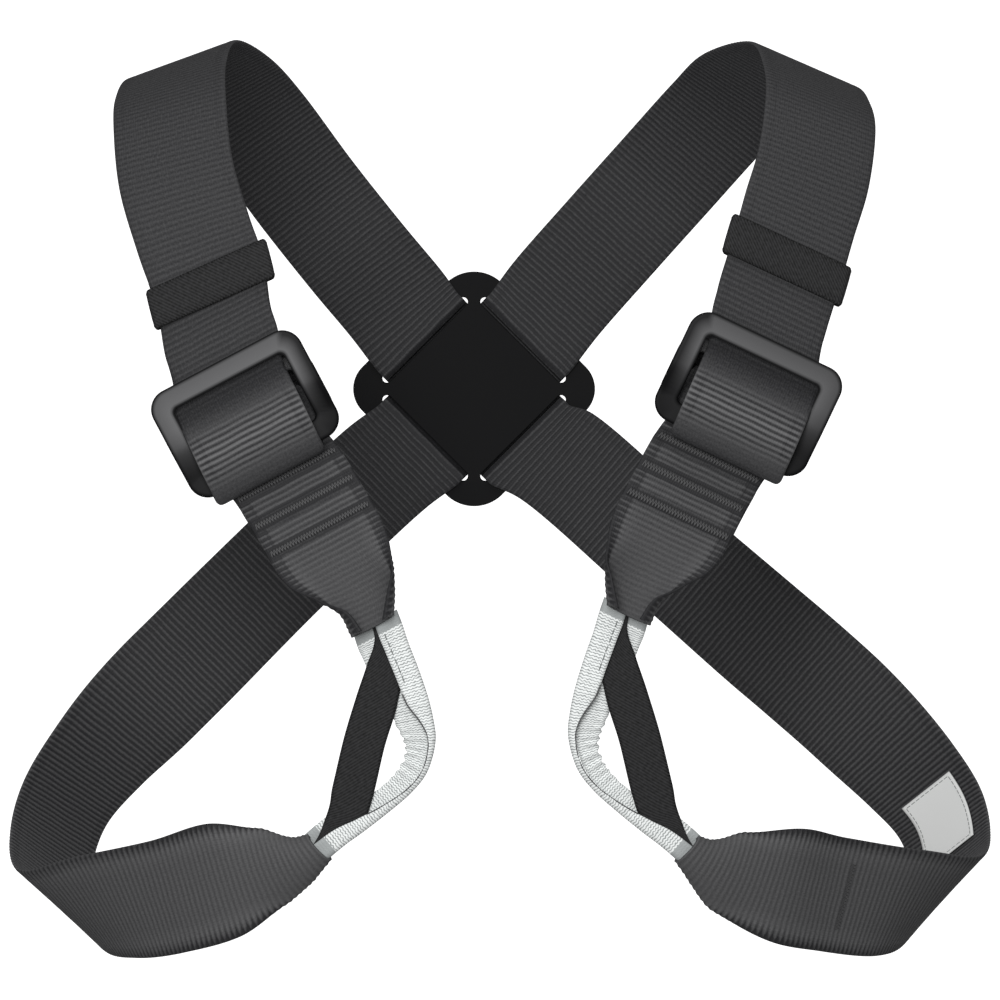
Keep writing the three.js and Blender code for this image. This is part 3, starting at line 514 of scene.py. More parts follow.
def slot_passage(side_x, side_z, depth_behind):
    """Two quarter circles, from the plate's body side to the layer behind it."""
    front = -(GAP + WEB_THICK / 2)
    angle = np.pi / 2 * np.arange(4) / 3
    inwards = slot_middle + SLOT_BEND * (1 - np.sin(angle))
    outwards = slot_middle - SLOT_BEND * (1 - np.cos(angle))
    run = SLOT_RUN * SLOT_BEND
    distance = np.concatenate([[slot_middle + run], inwards, outwards, [slot_middle - run]])
    depth = np.concatenate([[front], front + SLOT_BEND * (1 - np.cos(angle)),
                            depth_behind - SLOT_BEND * (1 - np.sin(angle)), [depth_behind]])
    reach = distance / np.sqrt(2)
    return plate_middle + np.stack([side_x * reach, depth, side_z * reach], -1)


print("slots are", slot_middle, "mm from the plate's middle")

# %% One long strap's path
PLATE_LEAN = 45.0
TAIL_REACH = 0.45
# the rows where the roll and the cloth behind it spread sideways, and by how much
ROLL_ROWS, ROLL_SPREAD = slice(2, 9), 1.03
BACKING_ROWS, BACKING_SPREAD = slice(11, 18), 1.055


def long_strap(underarm, shoulder, buckle, depth_behind):
    """Neck, under the arm, plate, shoulder, buckle and tail as one track."""
    under, over = np.array(underarm)[::-1], np.array(shoulder)
    low = slot_passage(-buckle.side, -1, depth_behind)
    high = slot_passage(buckle.side, 1, depth_behind)[::-1]
    rows = BUCKLE_ROLL
    out = (rows[:, 2] * bar_clear - rows[:, 3] * FRAME_BEND
           - rows[:, 4] * (inner_set - FRAME_BEND))
    roll = buckle.at(rows[:, 1] * FRAME_PLAY, rows[:, 0] * FRAME_HEIGHT / 2, out)
    up = row_places(shoulder)
    behind = np.array([0, LAYER, 0])
    up_widths = lean_vector(over[:, 3], buckle.side)
    tail = [up[-1] + behind, up[-1] + TAIL_REACH * (up[-2] - up[-1]) + behind]
    tail_widths = [up_widths[-1], up_widths[-1] + TAIL_REACH * (up_widths[-2] - up_widths[-1])]
    plate_width = lean_vector(PLATE_LEAN, buckle.side)
    places = np.vstack([row_places(underarm)[::-1], low, high, up, roll, tail])
    widths = np.vstack([lean_vector(under[:, 3], buckle.side, under[:, 4]),
                        np.tile(plate_width, (len(low) + len(high), 1)), up_widths,
                        np.tile(buckle.across, (len(roll), 1)), tail_widths])
    shapes = np.tile(FLAT, (len(places), 1))
    shapes[:len(under)] = under[:, 5:]
    in_buckle = shapes[len(under) + len(low) + len(high) + len(up):]
    in_buckle[ROLL_ROWS, 0] = ROLL_SPREAD
    in_buckle[BACKING_ROWS, 0] = BACKING_SPREAD
    return Track(places, widths, shapes, WEB_WIDTH, WEB_THICK)


behind_plate = PLATE_THICK + GAP + WEB_THICK / 2
straps = {
    "left": long_strap(UNDERARM_RIGHT, SHOULDER_LEFT, buckles["left"], behind_plate + LAYER),
    "right": long_strap(UNDERARM_LEFT, SHOULDER_RIGHT, buckles["right"], behind_plate),
}
for name, strap in straps.items():
    print(f"{name} strap: {strap.length:.0f} mm of webbing")

# %% [markdown]
# ## Weaving a strip
# The section of a strip is a shallow arc that closes to a C where the cloth is gathered. The
# weave is real relief: between the crests the surface sinks a little, and near each selvedge the
# weft turns back, which shows as short separate ticks beside a fine groove.

# %% The strip's section
LEAST_CURL = 2.0
# columns near an edge, as shares of the edge's zone, which is itself a share of the half width
EDGE_COLUMNS = np.array([0, 0.08, 0.25, 0.5, 0.78, 1.0, 1.25])
EDGE_ZONE = 0.18
ZONE_END = 1.8


def cloth_points(track, side, along, offset):
    """side runs from -1 to 1 across the strip. The section is an arc of an ellipse whose
    opening angle is the curl, and offset is laid off along the section's normal."""
    place, across, out, shape = track.stations(along)
    curl = np.radians(np.maximum(shape[:, 1], LEAST_CURL))
    half_side = track.width * shape[:, 0] / 2 / np.sin(np.minimum(curl, np.pi / 2))
    half_out = half_side * shape[:, 2]
    angle = curl * side
    normal = unit(np.stack([np.sin(angle) / half_side, np.cos(angle) / half_out], -1))
    x = half_side * np.sin(angle) + normal[:, 0] * offset
    y = half_out * (np.cos(angle) - 1) + normal[:, 1] * offset
    return place + across * x[:, None] + out * y[:, None]


def columns_across():
    """Positions across one face, closer together at the selvedges and their grooves."""
    edge = 1 - EDGE_ZONE * EDGE_COLUMNS
    inner = np.linspace(0, 1 - EDGE_ZONE * ZONE_END, 5)[1:]
    right = np.concatenate([inner, edge[::-1]])
    return np.concatenate([-right[::-1], [0], right])


print("columns on each face:", len(columns_across()))

# %% The relief of the weave, in mm
RIB_DEPTH = 0.24
TICK_DEPTH = 0.33
GROOVE_DEPTH = 0.16
GROOVE_REACH = 0.45
SELVEDGE = 3.8
SELVEDGE_FADE = 0.8
FINE_EDGE = 0.3
# the ribs wander by this angle of their wave, in radians, over these lengths along the strip,
# and the wander itself turns by this many waves from edge to middle
WANDER = 0.35
WANDER_LENGTHS = (31.0, 83.0)
WANDER_ACROSS = 1.3


def webbing_depth(side, along, width, edge=FINE_EDGE):
    """How far the face sinks: valleys between ribs that wander a little, a groove beside each
    selvedge, and deeper valleys between the ticks at the edge. edge is their strength."""
    from_edge = (1 - np.abs(side)) * width / 2
    short, long = WANDER_LENGTHS
    sway = np.sin(TAU * (side * WANDER_ACROSS + along / short))
    wander = WANDER * sway * np.sin(TAU * along / long)
    rib = 0.5 - 0.5 * np.cos(TAU * along / RIB_PITCH + wander)
    tick = 0.5 - 0.5 * np.cos(TAU * along / RIB_PITCH)
    at_edge = edge * np.clip((SELVEDGE - from_edge) / SELVEDGE_FADE, 0, 1)
    groove = edge * np.exp(-((from_edge - SELVEDGE) / GROOVE_REACH) ** 2)
    return RIB_DEPTH * rib * (1 - at_edge) + TICK_DEPTH * tick * at_edge + GROOVE_DEPTH * groove


def coarse_depth(side, along, width):
    """The same weave where the selvedge shows fully, on the tabs."""
    return webbing_depth(side, along, width, edge=1.0)


print("ribs every", RIB_PITCH, "mm")

# %% Painted shades of gathered cloth
# Where a strip is gathered it cups, and its colour gets painted shade and light: painted shade on
# its rims, which turn from the light, a painted highlight on a line beside them, which catches it,
# and in the middle less of the valleys' painted shade, where the ribs are pulled nearly flat.
# Reaches are in mm from the edge.
FULL_SHADE = 0.42
RIM_SHADE = 0.4
RIM_REACH = 2.2
LIT_SHADE = 0.2
LIT_INSET = 5.0
MIDDLE_SHADE = 0.08
CALM = 0.65


def cup_shades(gathered, from_edge):
    """The painted shade and highlight that gathering adds, and the share of the valleys' painted
    shade that stays.
    """
    rims = RIM_SHADE * np.exp(-(from_edge / RIM_REACH) ** 2)
    lit = LIT_SHADE * np.exp(-((from_edge - LIT_INSET) / RIM_REACH) ** 2)
    inside = np.clip((from_edge - LIT_INSET) / RIM_REACH, 0, 1)
    return gathered * (rims - lit + MIDDLE_SHADE), 1 - CALM * gathered * inside


print("a valley takes its full shade at", FULL_SHADE, "mm")

# %% Weaving
NO_CUP = np.array([(0, 0)])


def weave_strip(name, track, material, step, depth_of, stands_for, tones, cup=NO_CUP):
    """A closed grid: stations every step along, a front face and a back face that share their
    edge points. The thickness swells from the edge as a quarter of an ellipse. tones has rows of
    control number, painted shade of the crests, added painted shade of the valleys and strength of
    the relief, which change smoothly between the rows. cup has rows of control number and of how
    strongly the cloth is gathered there, which sets the painted shade of a cupped strip."""
    front = columns_across()
    side = np.concatenate([front, front[-2:0:-1]])
    facing = np.concatenate([np.ones(len(front)), -np.ones(len(front) - 2)])
    facing[[0, len(front) - 1]] = 0
    rows = int(round(track.length / step)) + 1
    along = np.linspace(0, track.length, rows)
    s, a = (grid.ravel() for grid in np.meshgrid(side, along))
    f = np.tile(facing, rows)
    from_edge = (1 - np.abs(s)) * track.width / 2
    swell = np.sqrt(1 - np.clip(1 - from_edge / track.thick, 0, 1) ** 2)
    stops = track.along(tones[:, 0])
    crest, valley, strength = (np.interp(a, stops, tones[:, i]) for i in (1, 2, 3))
    depth = depth_of(s, a, track.width) * swell * strength
    offset = f * (track.thick / 2 * swell - depth)
    points = cloth_points(track, s, a, offset)
    ring = len(side)
    last = (rows - 1) * ring
    faces = [ring_faces(rows, ring), *end_faces(ring, 0, False), *end_faces(ring, last, True)]
    quads = np.concatenate([faces[0], faces[1], faces[3]])
    triangles = np.concatenate([faces[2], faces[4]])
    uv = np.stack([s * track.width / 2, a], -1)
    gathered = np.interp(a, track.along(cup[:, 0]), cup[:, 1])
    cupped, valleys_left = cup_shades(gathered, from_edge)
    # painted light and shade: the crests' painted tone, painted shade in the valleys, and the
    # cup's
    shade = crest + valley * valleys_left * depth / FULL_SHADE + cupped
    return add_piece(name, points, [quads, triangles], material, uv, stands_for,
                     shade=shade)


print("weaving tools ready")

# %% The long straps
# Rows as in weave_strip: painted light and shade along each strap, whose crests are lighter
# towards the necks. Those of the roll count from the buckle's first row: under the top bar and in
# the fold the ribs are lower and painted shade darkens them and the cloth behind, and where the
# roll bulges between them the ribs stand higher and a painted highlight lightens their crests.
STRAP_STEP = RIB_PITCH / 4
TAIL_ROWS = 2
ROWS_FROM_PLATE = 32
ROWS_FROM_BACK = 9
ROWS_FROM_CHEST = 4
NECK_CUP = np.array([(0, 1), (3, 1), (5, 0.5), (7, 0)])
ROLL_PAINTED_SHADES = np.array([(0, 0.84, 0.3, 1), (1.3, 0.84, 0.3, 1), (2, 0.95, 0.1, 0.4),
                       (3.4, 0.97, 0.1, 0.4), (4.2, 0.86, 0.1, 0.4), (4.7, 0.45, 0.8, 1.4),
                       (5.5, 0.12, 1.1, 1.5), (6.5, 0.4, 0.8, 1.3), (7.2, 0.78, 0.15, 0.4),
                       (10, 0.9, 0.1, 0.3), (14, 0.96, 0.1, 1), (18, 0.96, 0.1, 1)])
for name, strap in straps.items():
    buckle_start = len(strap.places) - len(BUCKLE_ROLL) - TAIL_ROWS
    neck = np.array([(0, 0.44, 0.6, 1.4), (5, 0.46, 0.5, 1.3), (8, 0.61, 0.55, 1.5),
                     (buckle_start - ROWS_FROM_PLATE, 0.78, 0.6, 1.5),
                     (buckle_start - ROWS_FROM_BACK, 0.79, 0.45, 1.3),
                     (buckle_start - ROWS_FROM_CHEST, 0.83, 0.25, 0.8)])
    roll = ROLL_PAINTED_SHADES + [buckle_start, 0, 0, 0]
    weave_strip(f"{name}_shoulder_webbing", strap, webbing, STRAP_STEP, webbing_depth,
                f"strap_{name}_shoulder", np.vstack([neck, roll]), NECK_CUP)

# %% [markdown]
# ## Sewn tabs
# A tab is a folded piece of the same webbing. It hangs on the hidden inner frame, is sewn
# together by three rows of bar tacks, and is gathered into a narrow neck that holds the loop.
# It is a track like the straps, so the same weave serves, with the full ticks at its selvedges.

# %% Tab rows
TAB_LIFT = 4.0
TAB_TURN = 2.0
# columns: down in drops, aside in webbing widths, share of the lift from the inner frame, then
# the section's share of the width, curl in degrees and depth of the curl
TAB = np.array([
    (1.0, 0.12, 1, 0.385, 150, 0.45), (0.9, 0.18, 0.9, 0.5, 125, 0.42),
    (0.82, 0.165, 0.78, 0.7, 80, 0.4), (0.72, 0.12, 0.6, 0.92, 25, 0.4),
    (0.62, 0.105, 0.45, 1, 8, 0.4), (0.48, 0.095, 0.27, 1, 4, 0.4),
    (0.3, 0.07, 0.08, 1, 3, 0.4),
])
TAB_BACK_ROWS = np.array([0.3, 0.36, 0.48, 0.58])
TAB_EASE = 0.4
TAB_TURN_EASE = 0.56
tab_clear = bar_clear + TAB_EASE
print("tab clear of the inner frame's middle by", tab_clear, "mm")


# %% Tab paths
def tab_track(buckle):
    """Up from the neck, half round the inner frame's lower bar, and down as a back layer."""
    start_out = tab_clear - inner_set

    def out_at(lift):
        return start_out + (TAB_LIFT - start_out) * lift

    front = buckle.at(TAB[:, 1] * WEB_WIDTH, TAB[:, 0] * buckle.drop, out_at(TAB[:, 2]))
    bar_down = INNER_DOWN + (INNER_HEIGHT - INNER_BAR) / 2
    top_down = bar_down - INNER_BAR / 2 + TAB_TURN
    angle = np.pi * np.arange(7) / 6
    turn = buckle.at(0, top_down - (TAB_TURN + TAB_TURN_EASE + WEB_THICK / 2) * np.sin(angle),
                     tab_clear * np.cos(angle) - inner_set)
    below = buckle.at(0, bar_down + INNER_BAR / 2, -inner_set - tab_clear)[None]
    table = TAB[::-1]
    aside = np.interp(TAB_BACK_ROWS, table[:, 0], table[:, 1]) * WEB_WIDTH
    lift = np.interp(TAB_BACK_ROWS, table[:, 0], table[:, 2])
    setback = np.array([2 * LAYER] + [LAYER + GAP] * 3)
    back = buckle.at(aside, TAB_BACK_ROWS * buckle.drop, out_at(lift) - setback)
    places = np.vstack([front, turn, below, back])
    shapes = np.tile(FLAT, (len(places), 1))
    shapes[:len(TAB)] = TAB[:, 3:]
    return Track(places, np.tile(buckle.across, (len(places), 1)), shapes, WEB_WIDTH, WEB_THICK)


tabs = {name: tab_track(buckle) for name, buckle in buckles.items()}
print("tab lengths:", *[round(tab.length) for tab in tabs.values()], "mm")

# %% Woven tabs
# painted shade darkens the webbing where a bar tack pulls it in; the tab's valleys and its
# gathered neck get painted shade as on the straps
TAB_TACK_ROWS = (4.52, 5.32, 6.04)
TACK_PAINTED_SHADES = [(row + shift, shade, 0.6, 1.3) for row in TAB_TACK_ROWS
              for shift, shade in ((-0.2, 0.56), (-0.16, 0.9), (0.16, 0.9), (0.2, 0.56))]
TAB_TONES = np.array([(0, 0.6, 0.5, 1.3), (3, 0.56, 0.6, 1.3), *TACK_PAINTED_SHADES,
                      (9, 0.56, 0.7, 1.5)])
TAB_CUP = np.array([(0, 1), (3.2, 0.9), (4.3, 0.3), (6.2, 0.1), (7, 0)])
for name, tab in tabs.items():
    weave_strip(f"{name}_sewn_tab", tab, webbing, STRAP_STEP, coarse_depth,
                f"chest_tab_{name}", TAB_TONES, TAB_CUP)

# %% [markdown]
# ## Bar tacks
# A bar tack is a dense zigzag of thread across the webbing. Each tab has three, and the right
# under-arm strap has one near its neck. The thread is real geometry: a thin tube along a zigzag
# that lies on the cloth. Bonded polyester thread is a little glossier than the webbing.

# %% Thread
# a direction that no thread follows, to lay a tube's rings square to its line
OFF_AXIS = (0.3, 0.5, 0.8)
thread, tree, shader = new_material("bonded polyester thread", Roughness=0.5,
                                    Specular_IOR_Level=0.35)
shader.inputs["Base Color"].default_value = linear("#3f3f40")
pale_thread, tree, shader = new_material("pale polyester thread", Roughness=0.55)
shader.inputs["Base Color"].default_value = linear("#707473")


def thread_tubes(name, lines, material, radius):
    """A six-sided tube along each line of points, all in one mesh."""
    angle = TAU * np.arange(6) / 6
    points, faces, start = [], [], 0
    for line in lines:
        along = unit(np.gradient(line, axis=0))
        aside = unit(np.cross(along, OFF_AXIS))
        up = np.cross(along, aside)
        rings = (line[:, None] + radius * (np.cos(angle)[:, None] * aside[:, None]
                                           + np.sin(angle)[:, None] * up[:, None]))
        points.append(rings.reshape(-1, 3))
        ends = [np.array([[0, 1, 2, 3], [0, 3, 4, 5]]),
                (len(line) - 1) * 6 + np.array([[3, 2, 1, 0], [5, 4, 3, 0]])]
        faces.append(start + np.concatenate([ring_faces(len(line), 6), *ends]))
        start += len(line) * 6
    return add_piece(name, np.vstack(points), [np.concatenate(faces)], material)


print("threads:", thread.name, "and", pale_thread.name)

# %% Tacks, in mm, with shares of the half width
THREAD_RADIUS = 0.32
TACK_HALF = 1.45
TACK_PITCH = 1.15
TACK_EDGE = 0.93
BETWEEN_TURNS = 0.25
STRAP_TACK_ROW = 4.17
STRAP_TACK_EDGE = 0.58
STRAP_TACK_HALF = 0.8


def front_of(track, along):
    """1 where the strip's outward direction faces the camera, and -1 where it faces away."""
    return -np.sign(track.stations(along)[2][:, 1])


def bar_tack(track, row, edge=TACK_EDGE, half=TACK_HALF):
    """A zigzag across the strip, centred on a control row and laid on its front face. Points
    between its turns keep the thread on the cloth."""
    turns = int(2 * edge * track.width / TACK_PITCH)
    side = np.linspace(-edge, edge, turns)
    along = track.along(row) + half * np.where(np.arange(turns) % 2, 1.0, -1.0)
    fine = np.arange(0, turns - 1, BETWEEN_TURNS)
    side = np.interp(fine, np.arange(turns), side)
    along = np.interp(fine, np.arange(turns), along)
    return cloth_points(track, side, along, front_of(track, along) * track.thick / 2)


for name, tab in tabs.items():
    thread_tubes(f"{name}_tab_bar_tacks", [bar_tack(tab, row) for row in TAB_TACK_ROWS],
                 thread, THREAD_RADIUS)
strap_tack = bar_tack(straps["left"], STRAP_TACK_ROW, STRAP_TACK_EDGE, STRAP_TACK_HALF)
thread_tubes("under_arm_bar_tack", [strap_tack], thread, THREAD_RADIUS / 2)

# %% [markdown]
# ## Buckle frames
# The frames are pressed from a strong aluminium alloy, tumbled and anodised dark grey, so their
# faces are satin and all edges soft. Painted shade makes the rims nearly black, and darkens the
# lower part of the outer frame, which bends back, and the outer part of the bar towards the chest.
# A painted light brightens each bar towards the opening. A ring of soft-cornered sections gives
# the shape, and its points keep the painted shade.

# %% Frame material
anodised, tree, shader = new_material("dark anodised aluminium", Metallic=0.2, Roughness=0.42,
                                      Specular_IOR_Level=0.05)
depth = add_node(tree, "ShaderNodeAttribute", attribute_name="shade").outputs["Fac"]
# the face colour, mixed towards near black by the painted shade that each point keeps
colour = add_node(tree, "ShaderNodeMix", {0: depth, 6: linear("#535354"),
                                          7: linear("#0c0c0d")}, data_type="RGBA")
tree.links.new(colour.outputs[2], shader.inputs["Base Color"])
print("frames:", anodised.name)


# %% Outlines with round corners
CORNER_STEPS = 12
SIDE_STEPS = 14


def rounded_outline(width, height, radius, corner_steps, side_steps):
    """A rectangle with quarter-circle corners, as the same number of points for any size.
    radius is one number, or four for the corners in turn."""
    signs = np.array([[1, 1], [-1, 1], [-1, -1], [1, -1]])
    radius = np.broadcast_to(radius, 4).reshape(4, 1, 1)
    angle = np.pi / 2 * (np.arange(4)[:, None] + np.linspace(0, 1, corner_steps + 1))
    round_part = radius * np.stack([np.cos(angle), np.sin(angle)], -1)
    corners = signs[:, None] * (np.array([width, height]) / 2 - radius) + round_part
    share = np.linspace(0, 1, side_steps + 1)[1:-1, None]
    sides = [(1 - share) * corners[i, -1] + share * corners[(i + 1) % 4, 0] for i in range(4)]
    return np.vstack([np.vstack([corners[i], sides[i]]) for i in range(4)])


frame_outline = rounded_outline(FRAME_WIDTH, FRAME_HEIGHT, FRAME_CORNER, CORNER_STEPS, SIDE_STEPS)
print("points round a frame:", len(frame_outline))

# %% Frames
SECTION_POWER = 8
SECTION_POINTS = 24
# painted shade at the rims, the low parts and the bar towards the chest: strength, start, fade
RIM_PAINTED_SHADE = (0.85, 0.72, 0.12)
LOW_PAINTED_SHADE = (0.92, -0.15, 0.45)
INWARD_PAINTED_SHADE = (0.9, 1.02, 0.1)
# painted light across a bar: its share at the outer edge, and its gain towards the opening
OUTER_LIGHT = 0.6
LIGHT_GAIN = 0.35


def painted_shade_ramp(value, strength, start, fade):
    """0 up to the start, rising straight to the strength over the fade."""
    return strength * np.clip((value - start) / fade, 0, 1)


def frame_ring(name, buckle, height, bar, play, centre_down, centre_out, bend, stands_for):
    """A closed ring: at each point of the outline a soft-cornered rectangle spans from the outer
    edge to the opening. It is a superellipse, |x|^8 + |y|^8 = 1. Painted shade darkens the rims,
    the lower ends of the side bars and the outer part of the bar towards the chest, and painted
    light brightens each bar towards the opening."""
    outer = rounded_outline(FRAME_WIDTH, height, FRAME_CORNER, CORNER_STEPS, SIDE_STEPS)
    opening = (WEB_WIDTH + 2 * (play - OPENING_LIP), height - 2 * bar)
    inner = rounded_outline(*opening, OPENING_CORNER, CORNER_STEPS, SIDE_STEPS)
    turn = TAU * (np.arange(SECTION_POINTS) + 0.5) / SECTION_POINTS
    section = np.stack([np.cos(turn), np.sin(turn)])
    section = np.sign(section) * np.abs(section) ** (2 / SECTION_POWER)
    share = 0.5 + 0.5 * section[0]
    out = FRAME_THICK / 2 * section[1]
    spot = outer[:, None] + (inner - outer)[:, None] * share[None, :, None]
    ramp = np.clip(spot[..., 1] / (height / 2 - bar), 0, 1)
    setback = bend * ramp**2 * (3 - 2 * ramp)
    points = buckle.at(spot[..., 0], centre_down + spot[..., 1], centre_out + out - setback)
    points = points.reshape(-1, 3)
    faces = ring_faces(len(outer), len(turn), closed=True)
    rim = painted_shade_ramp(np.abs(section[0]), *RIM_PAINTED_SHADE)
    low = painted_shade_ramp(spot[..., 1] / height, *LOW_PAINTED_SHADE)
    inward = painted_shade_ramp(spot[..., 0] / (opening[0] / 2), *INWARD_PAINTED_SHADE) * (share < 0.5)
    light = OUTER_LIGHT + LIGHT_GAIN * share
    shade = 1 - (1 - np.maximum(rim, inward)) * (1 - low) * light
    return add_piece(name, points, [faces], anodised, None, stands_for,
                     shade=shade.ravel())


for name, buckle in buckles.items():
    frame_ring(f"{name}_outer_frame", buckle, FRAME_HEIGHT, FRAME_BAR, FRAME_PLAY, 0, 0,
               FRAME_BEND, f"buckle_frame_{name}")
    frame_ring(f"{name}_inner_frame", buckle, INNER_HEIGHT, INNER_BAR, INNER_PLAY, INNER_DOWN,
               -inner_set, 0, f"inner_frame_{name}")

# %% [markdown]
# ## Back plate
# The plate is moulded from black nylon or polyethylene, with a flat matt face, round corners and
# four slots. A flat curve with holes suits it: Blender fills it, gives it a thickness and softens
# its edge, and then its mesh is stood up behind the straps.

# %% Plate outline
PLATE_SIDE = 76.0
PLATE_CORNER = 16.0
PLATE_SIDE_CORNER = 12.5
PLATE_EDGE = 0.35
PLATE_EDGE_STEPS = 3
SLOT_PLAY = 2.0
SLOT_LENGTH = WEB_WIDTH + SLOT_PLAY
moulded, tree, shader = new_material("moulded black nylon", Roughness=0.6,
                                    Specular_IOR_Level=0.06)
shader.inputs["Base Color"].default_value = linear("#111112")


def slot_outline(turn):
    """A stadium that stands across the direction turn, SLOT_FROM_CENTRE out."""
    reach = (SLOT_LENGTH - SLOT_WIDTH) / 2
    angle = np.linspace(0, np.pi, CORNER_STEPS + 1)
    half_round = SLOT_WIDTH / 2 * np.stack([np.cos(angle), np.sin(angle)], -1)
    ends = np.vstack([half_round + [slot_middle, reach], -half_round + [slot_middle, -reach]])
    cos, sin = np.cos(turn), np.sin(turn)
    return ends @ np.array([[cos, sin], [-sin, cos]])


def flat_curve(outlines):
    """A filled 2D curve with a straight-sided spline for each outline, in mm."""
    curve = bpy.data.curves.new("plate_outline", "CURVE")
    curve.dimensions = "2D"
    curve.fill_mode = "BOTH"
    for outline in outlines:
        spline = curve.splines.new("POLY")
        spline.points.add(len(outline) - 1)
        flat = np.column_stack([outline * MM, np.zeros(len(outline)), np.ones(len(outline))])
        spline.points.foreach_set("co", flat.ravel())
        spline.use_cyclic_u = True
    curve.bevel_depth = PLATE_EDGE * MM
    curve.bevel_resolution = PLATE_EDGE_STEPS
    curve.offset = -PLATE_EDGE * MM
    curve.extrude = (PLATE_THICK / 2 - PLATE_EDGE) * MM
    return curve


plate_corners = [PLATE_CORNER, PLATE_SIDE_CORNER] * 2
outlines = [rounded_outline(PLATE_SIDE, PLATE_SIDE, plate_corners, 2 * CORNER_STEPS, 1)]
outlines += [slot_outline(np.pi / 2 * i) for i in range(4)]
print("plate outlines:", len(outlines))

# %% Plate mesh
drawn = bpy.data.objects.new("plate_drawing", flat_curve(outlines))
bpy.context.collection.objects.link(drawn)
bpy.context.view_layer.update()
plate_mesh = bpy.data.meshes.new_from_object(drawn.evaluated_get(
    bpy.context.evaluated_depsgraph_get()))
bpy.data.objects.remove(drawn)
flat = np.empty(len(plate_mesh.vertices) * 3)
plate_mesh.vertices.foreach_get("co", flat)
flat = flat.reshape(-1, 3)
diagonal = np.sqrt(0.5)
standing = np.stack([(flat[:, 0] - flat[:, 1]) * diagonal, -flat[:, 2],
                     (flat[:, 0] + flat[:, 1]) * diagonal], -1)
standing += (plate_middle + [0, PLATE_THICK / 2, 0]) * MM
plate_mesh.vertices.foreach_set("co", standing.ravel())
plate_mesh.materials.clear()
plate_mesh.materials.append(moulded)
plate_mesh.update()
plate = bpy.data.objects.new("moulded_back_plate", plate_mesh)
bpy.context.collection.objects.link(plate)
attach(plate, "root")
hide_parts("back_plate")
print("plate:", len(plate_mesh.polygons), "faces")

# %% [markdown]
# ## Elastic keepers
# A keeper is a short ring of woven elastic that holds the strap's tail. Elastic is woven tighter
# than webbing, as a fine twill whose slanting lines are drawn a little coarser here so that they
# show, and the weft turns show as teeth at its edges. Rubber in it makes it matt and dark.

# %% Elastic and keeper sizes, in mm
KEEPER_LENGTH = 15.4
KEEPER_THICK = 1.3
KEEPER_EASE = 0.8
KEEPER_SIDE_EASE = 1.4
KEEPER_CORNER = 1.1
KEEPER_ROUND = 8.0
KEEPER_STEPS = (8, 60)
# the elastic's own share of its valley colour, and the painted shade added where the face is lower
KEEPER_SHADE = 0.5
TOOTH_SHADE = 0.8
ELASTIC_PITCH = 1.1
ELASTIC_STEP = ELASTIC_PITCH / 4
TWILL_PITCH = 1.5
# the keeper's rings from its upper to its lower edge: place, height of the face, depth of teeth
KEEPER_RINGS = np.array([
    (-1, 0.5, 0.45), (-0.98, 0.85, 0.45), (-0.93, 1, 0.4), (-0.86, 0.92, 0.05),
    (-0.5, 1, 0.05), (0, 1, 0.05), (0.5, 1, 0.05), (0.86, 0.92, 0.05), (0.93, 1, 0.4),
    (0.98, 0.85, 0.45), (1, 0.5, 0.45),
])
# the corners begin this far across and are round over the rest
CORNER_START = 0.95
elastic = woven_material("woven elastic", "#363637", "#0e0e0e", TWILL_PITCH, roughness=0.8,
                         relief=0.08, speckle=0.9, specular=0.12, slant=1.0, twill=0.22)
print("elastic:", elastic.name)


# %% Keepers
def keeper_outline(grow, steps):
    """A rounded rectangle round strap and tail, read at evenly spaced distances."""
    half_width = WEB_WIDTH / 2 + KEEPER_SIDE_EASE + grow
    front = WEB_THICK / 2 + KEEPER_EASE + grow
    back = -(WEB_THICK / 2 + LAYER + GAP + KEEPER_EASE + grow)
    radius = min(grow + KEEPER_EASE, (front - back) / 2)
    outline = rounded_outline(2 * half_width, front - back, radius, *KEEPER_STEPS)
    outline[:, 1] += (front + back) / 2
    looped = np.vstack([outline, outline[:1]])
    run = np.concatenate([[0], np.cumsum(np.linalg.norm(np.diff(looped, axis=0), axis=1))])
    where = np.linspace(0, run[-1], steps, endpoint=False)
    spots = np.stack([np.interp(where, run, looped[:, i]) for i in (0, 1)], -1)
    return spots, where


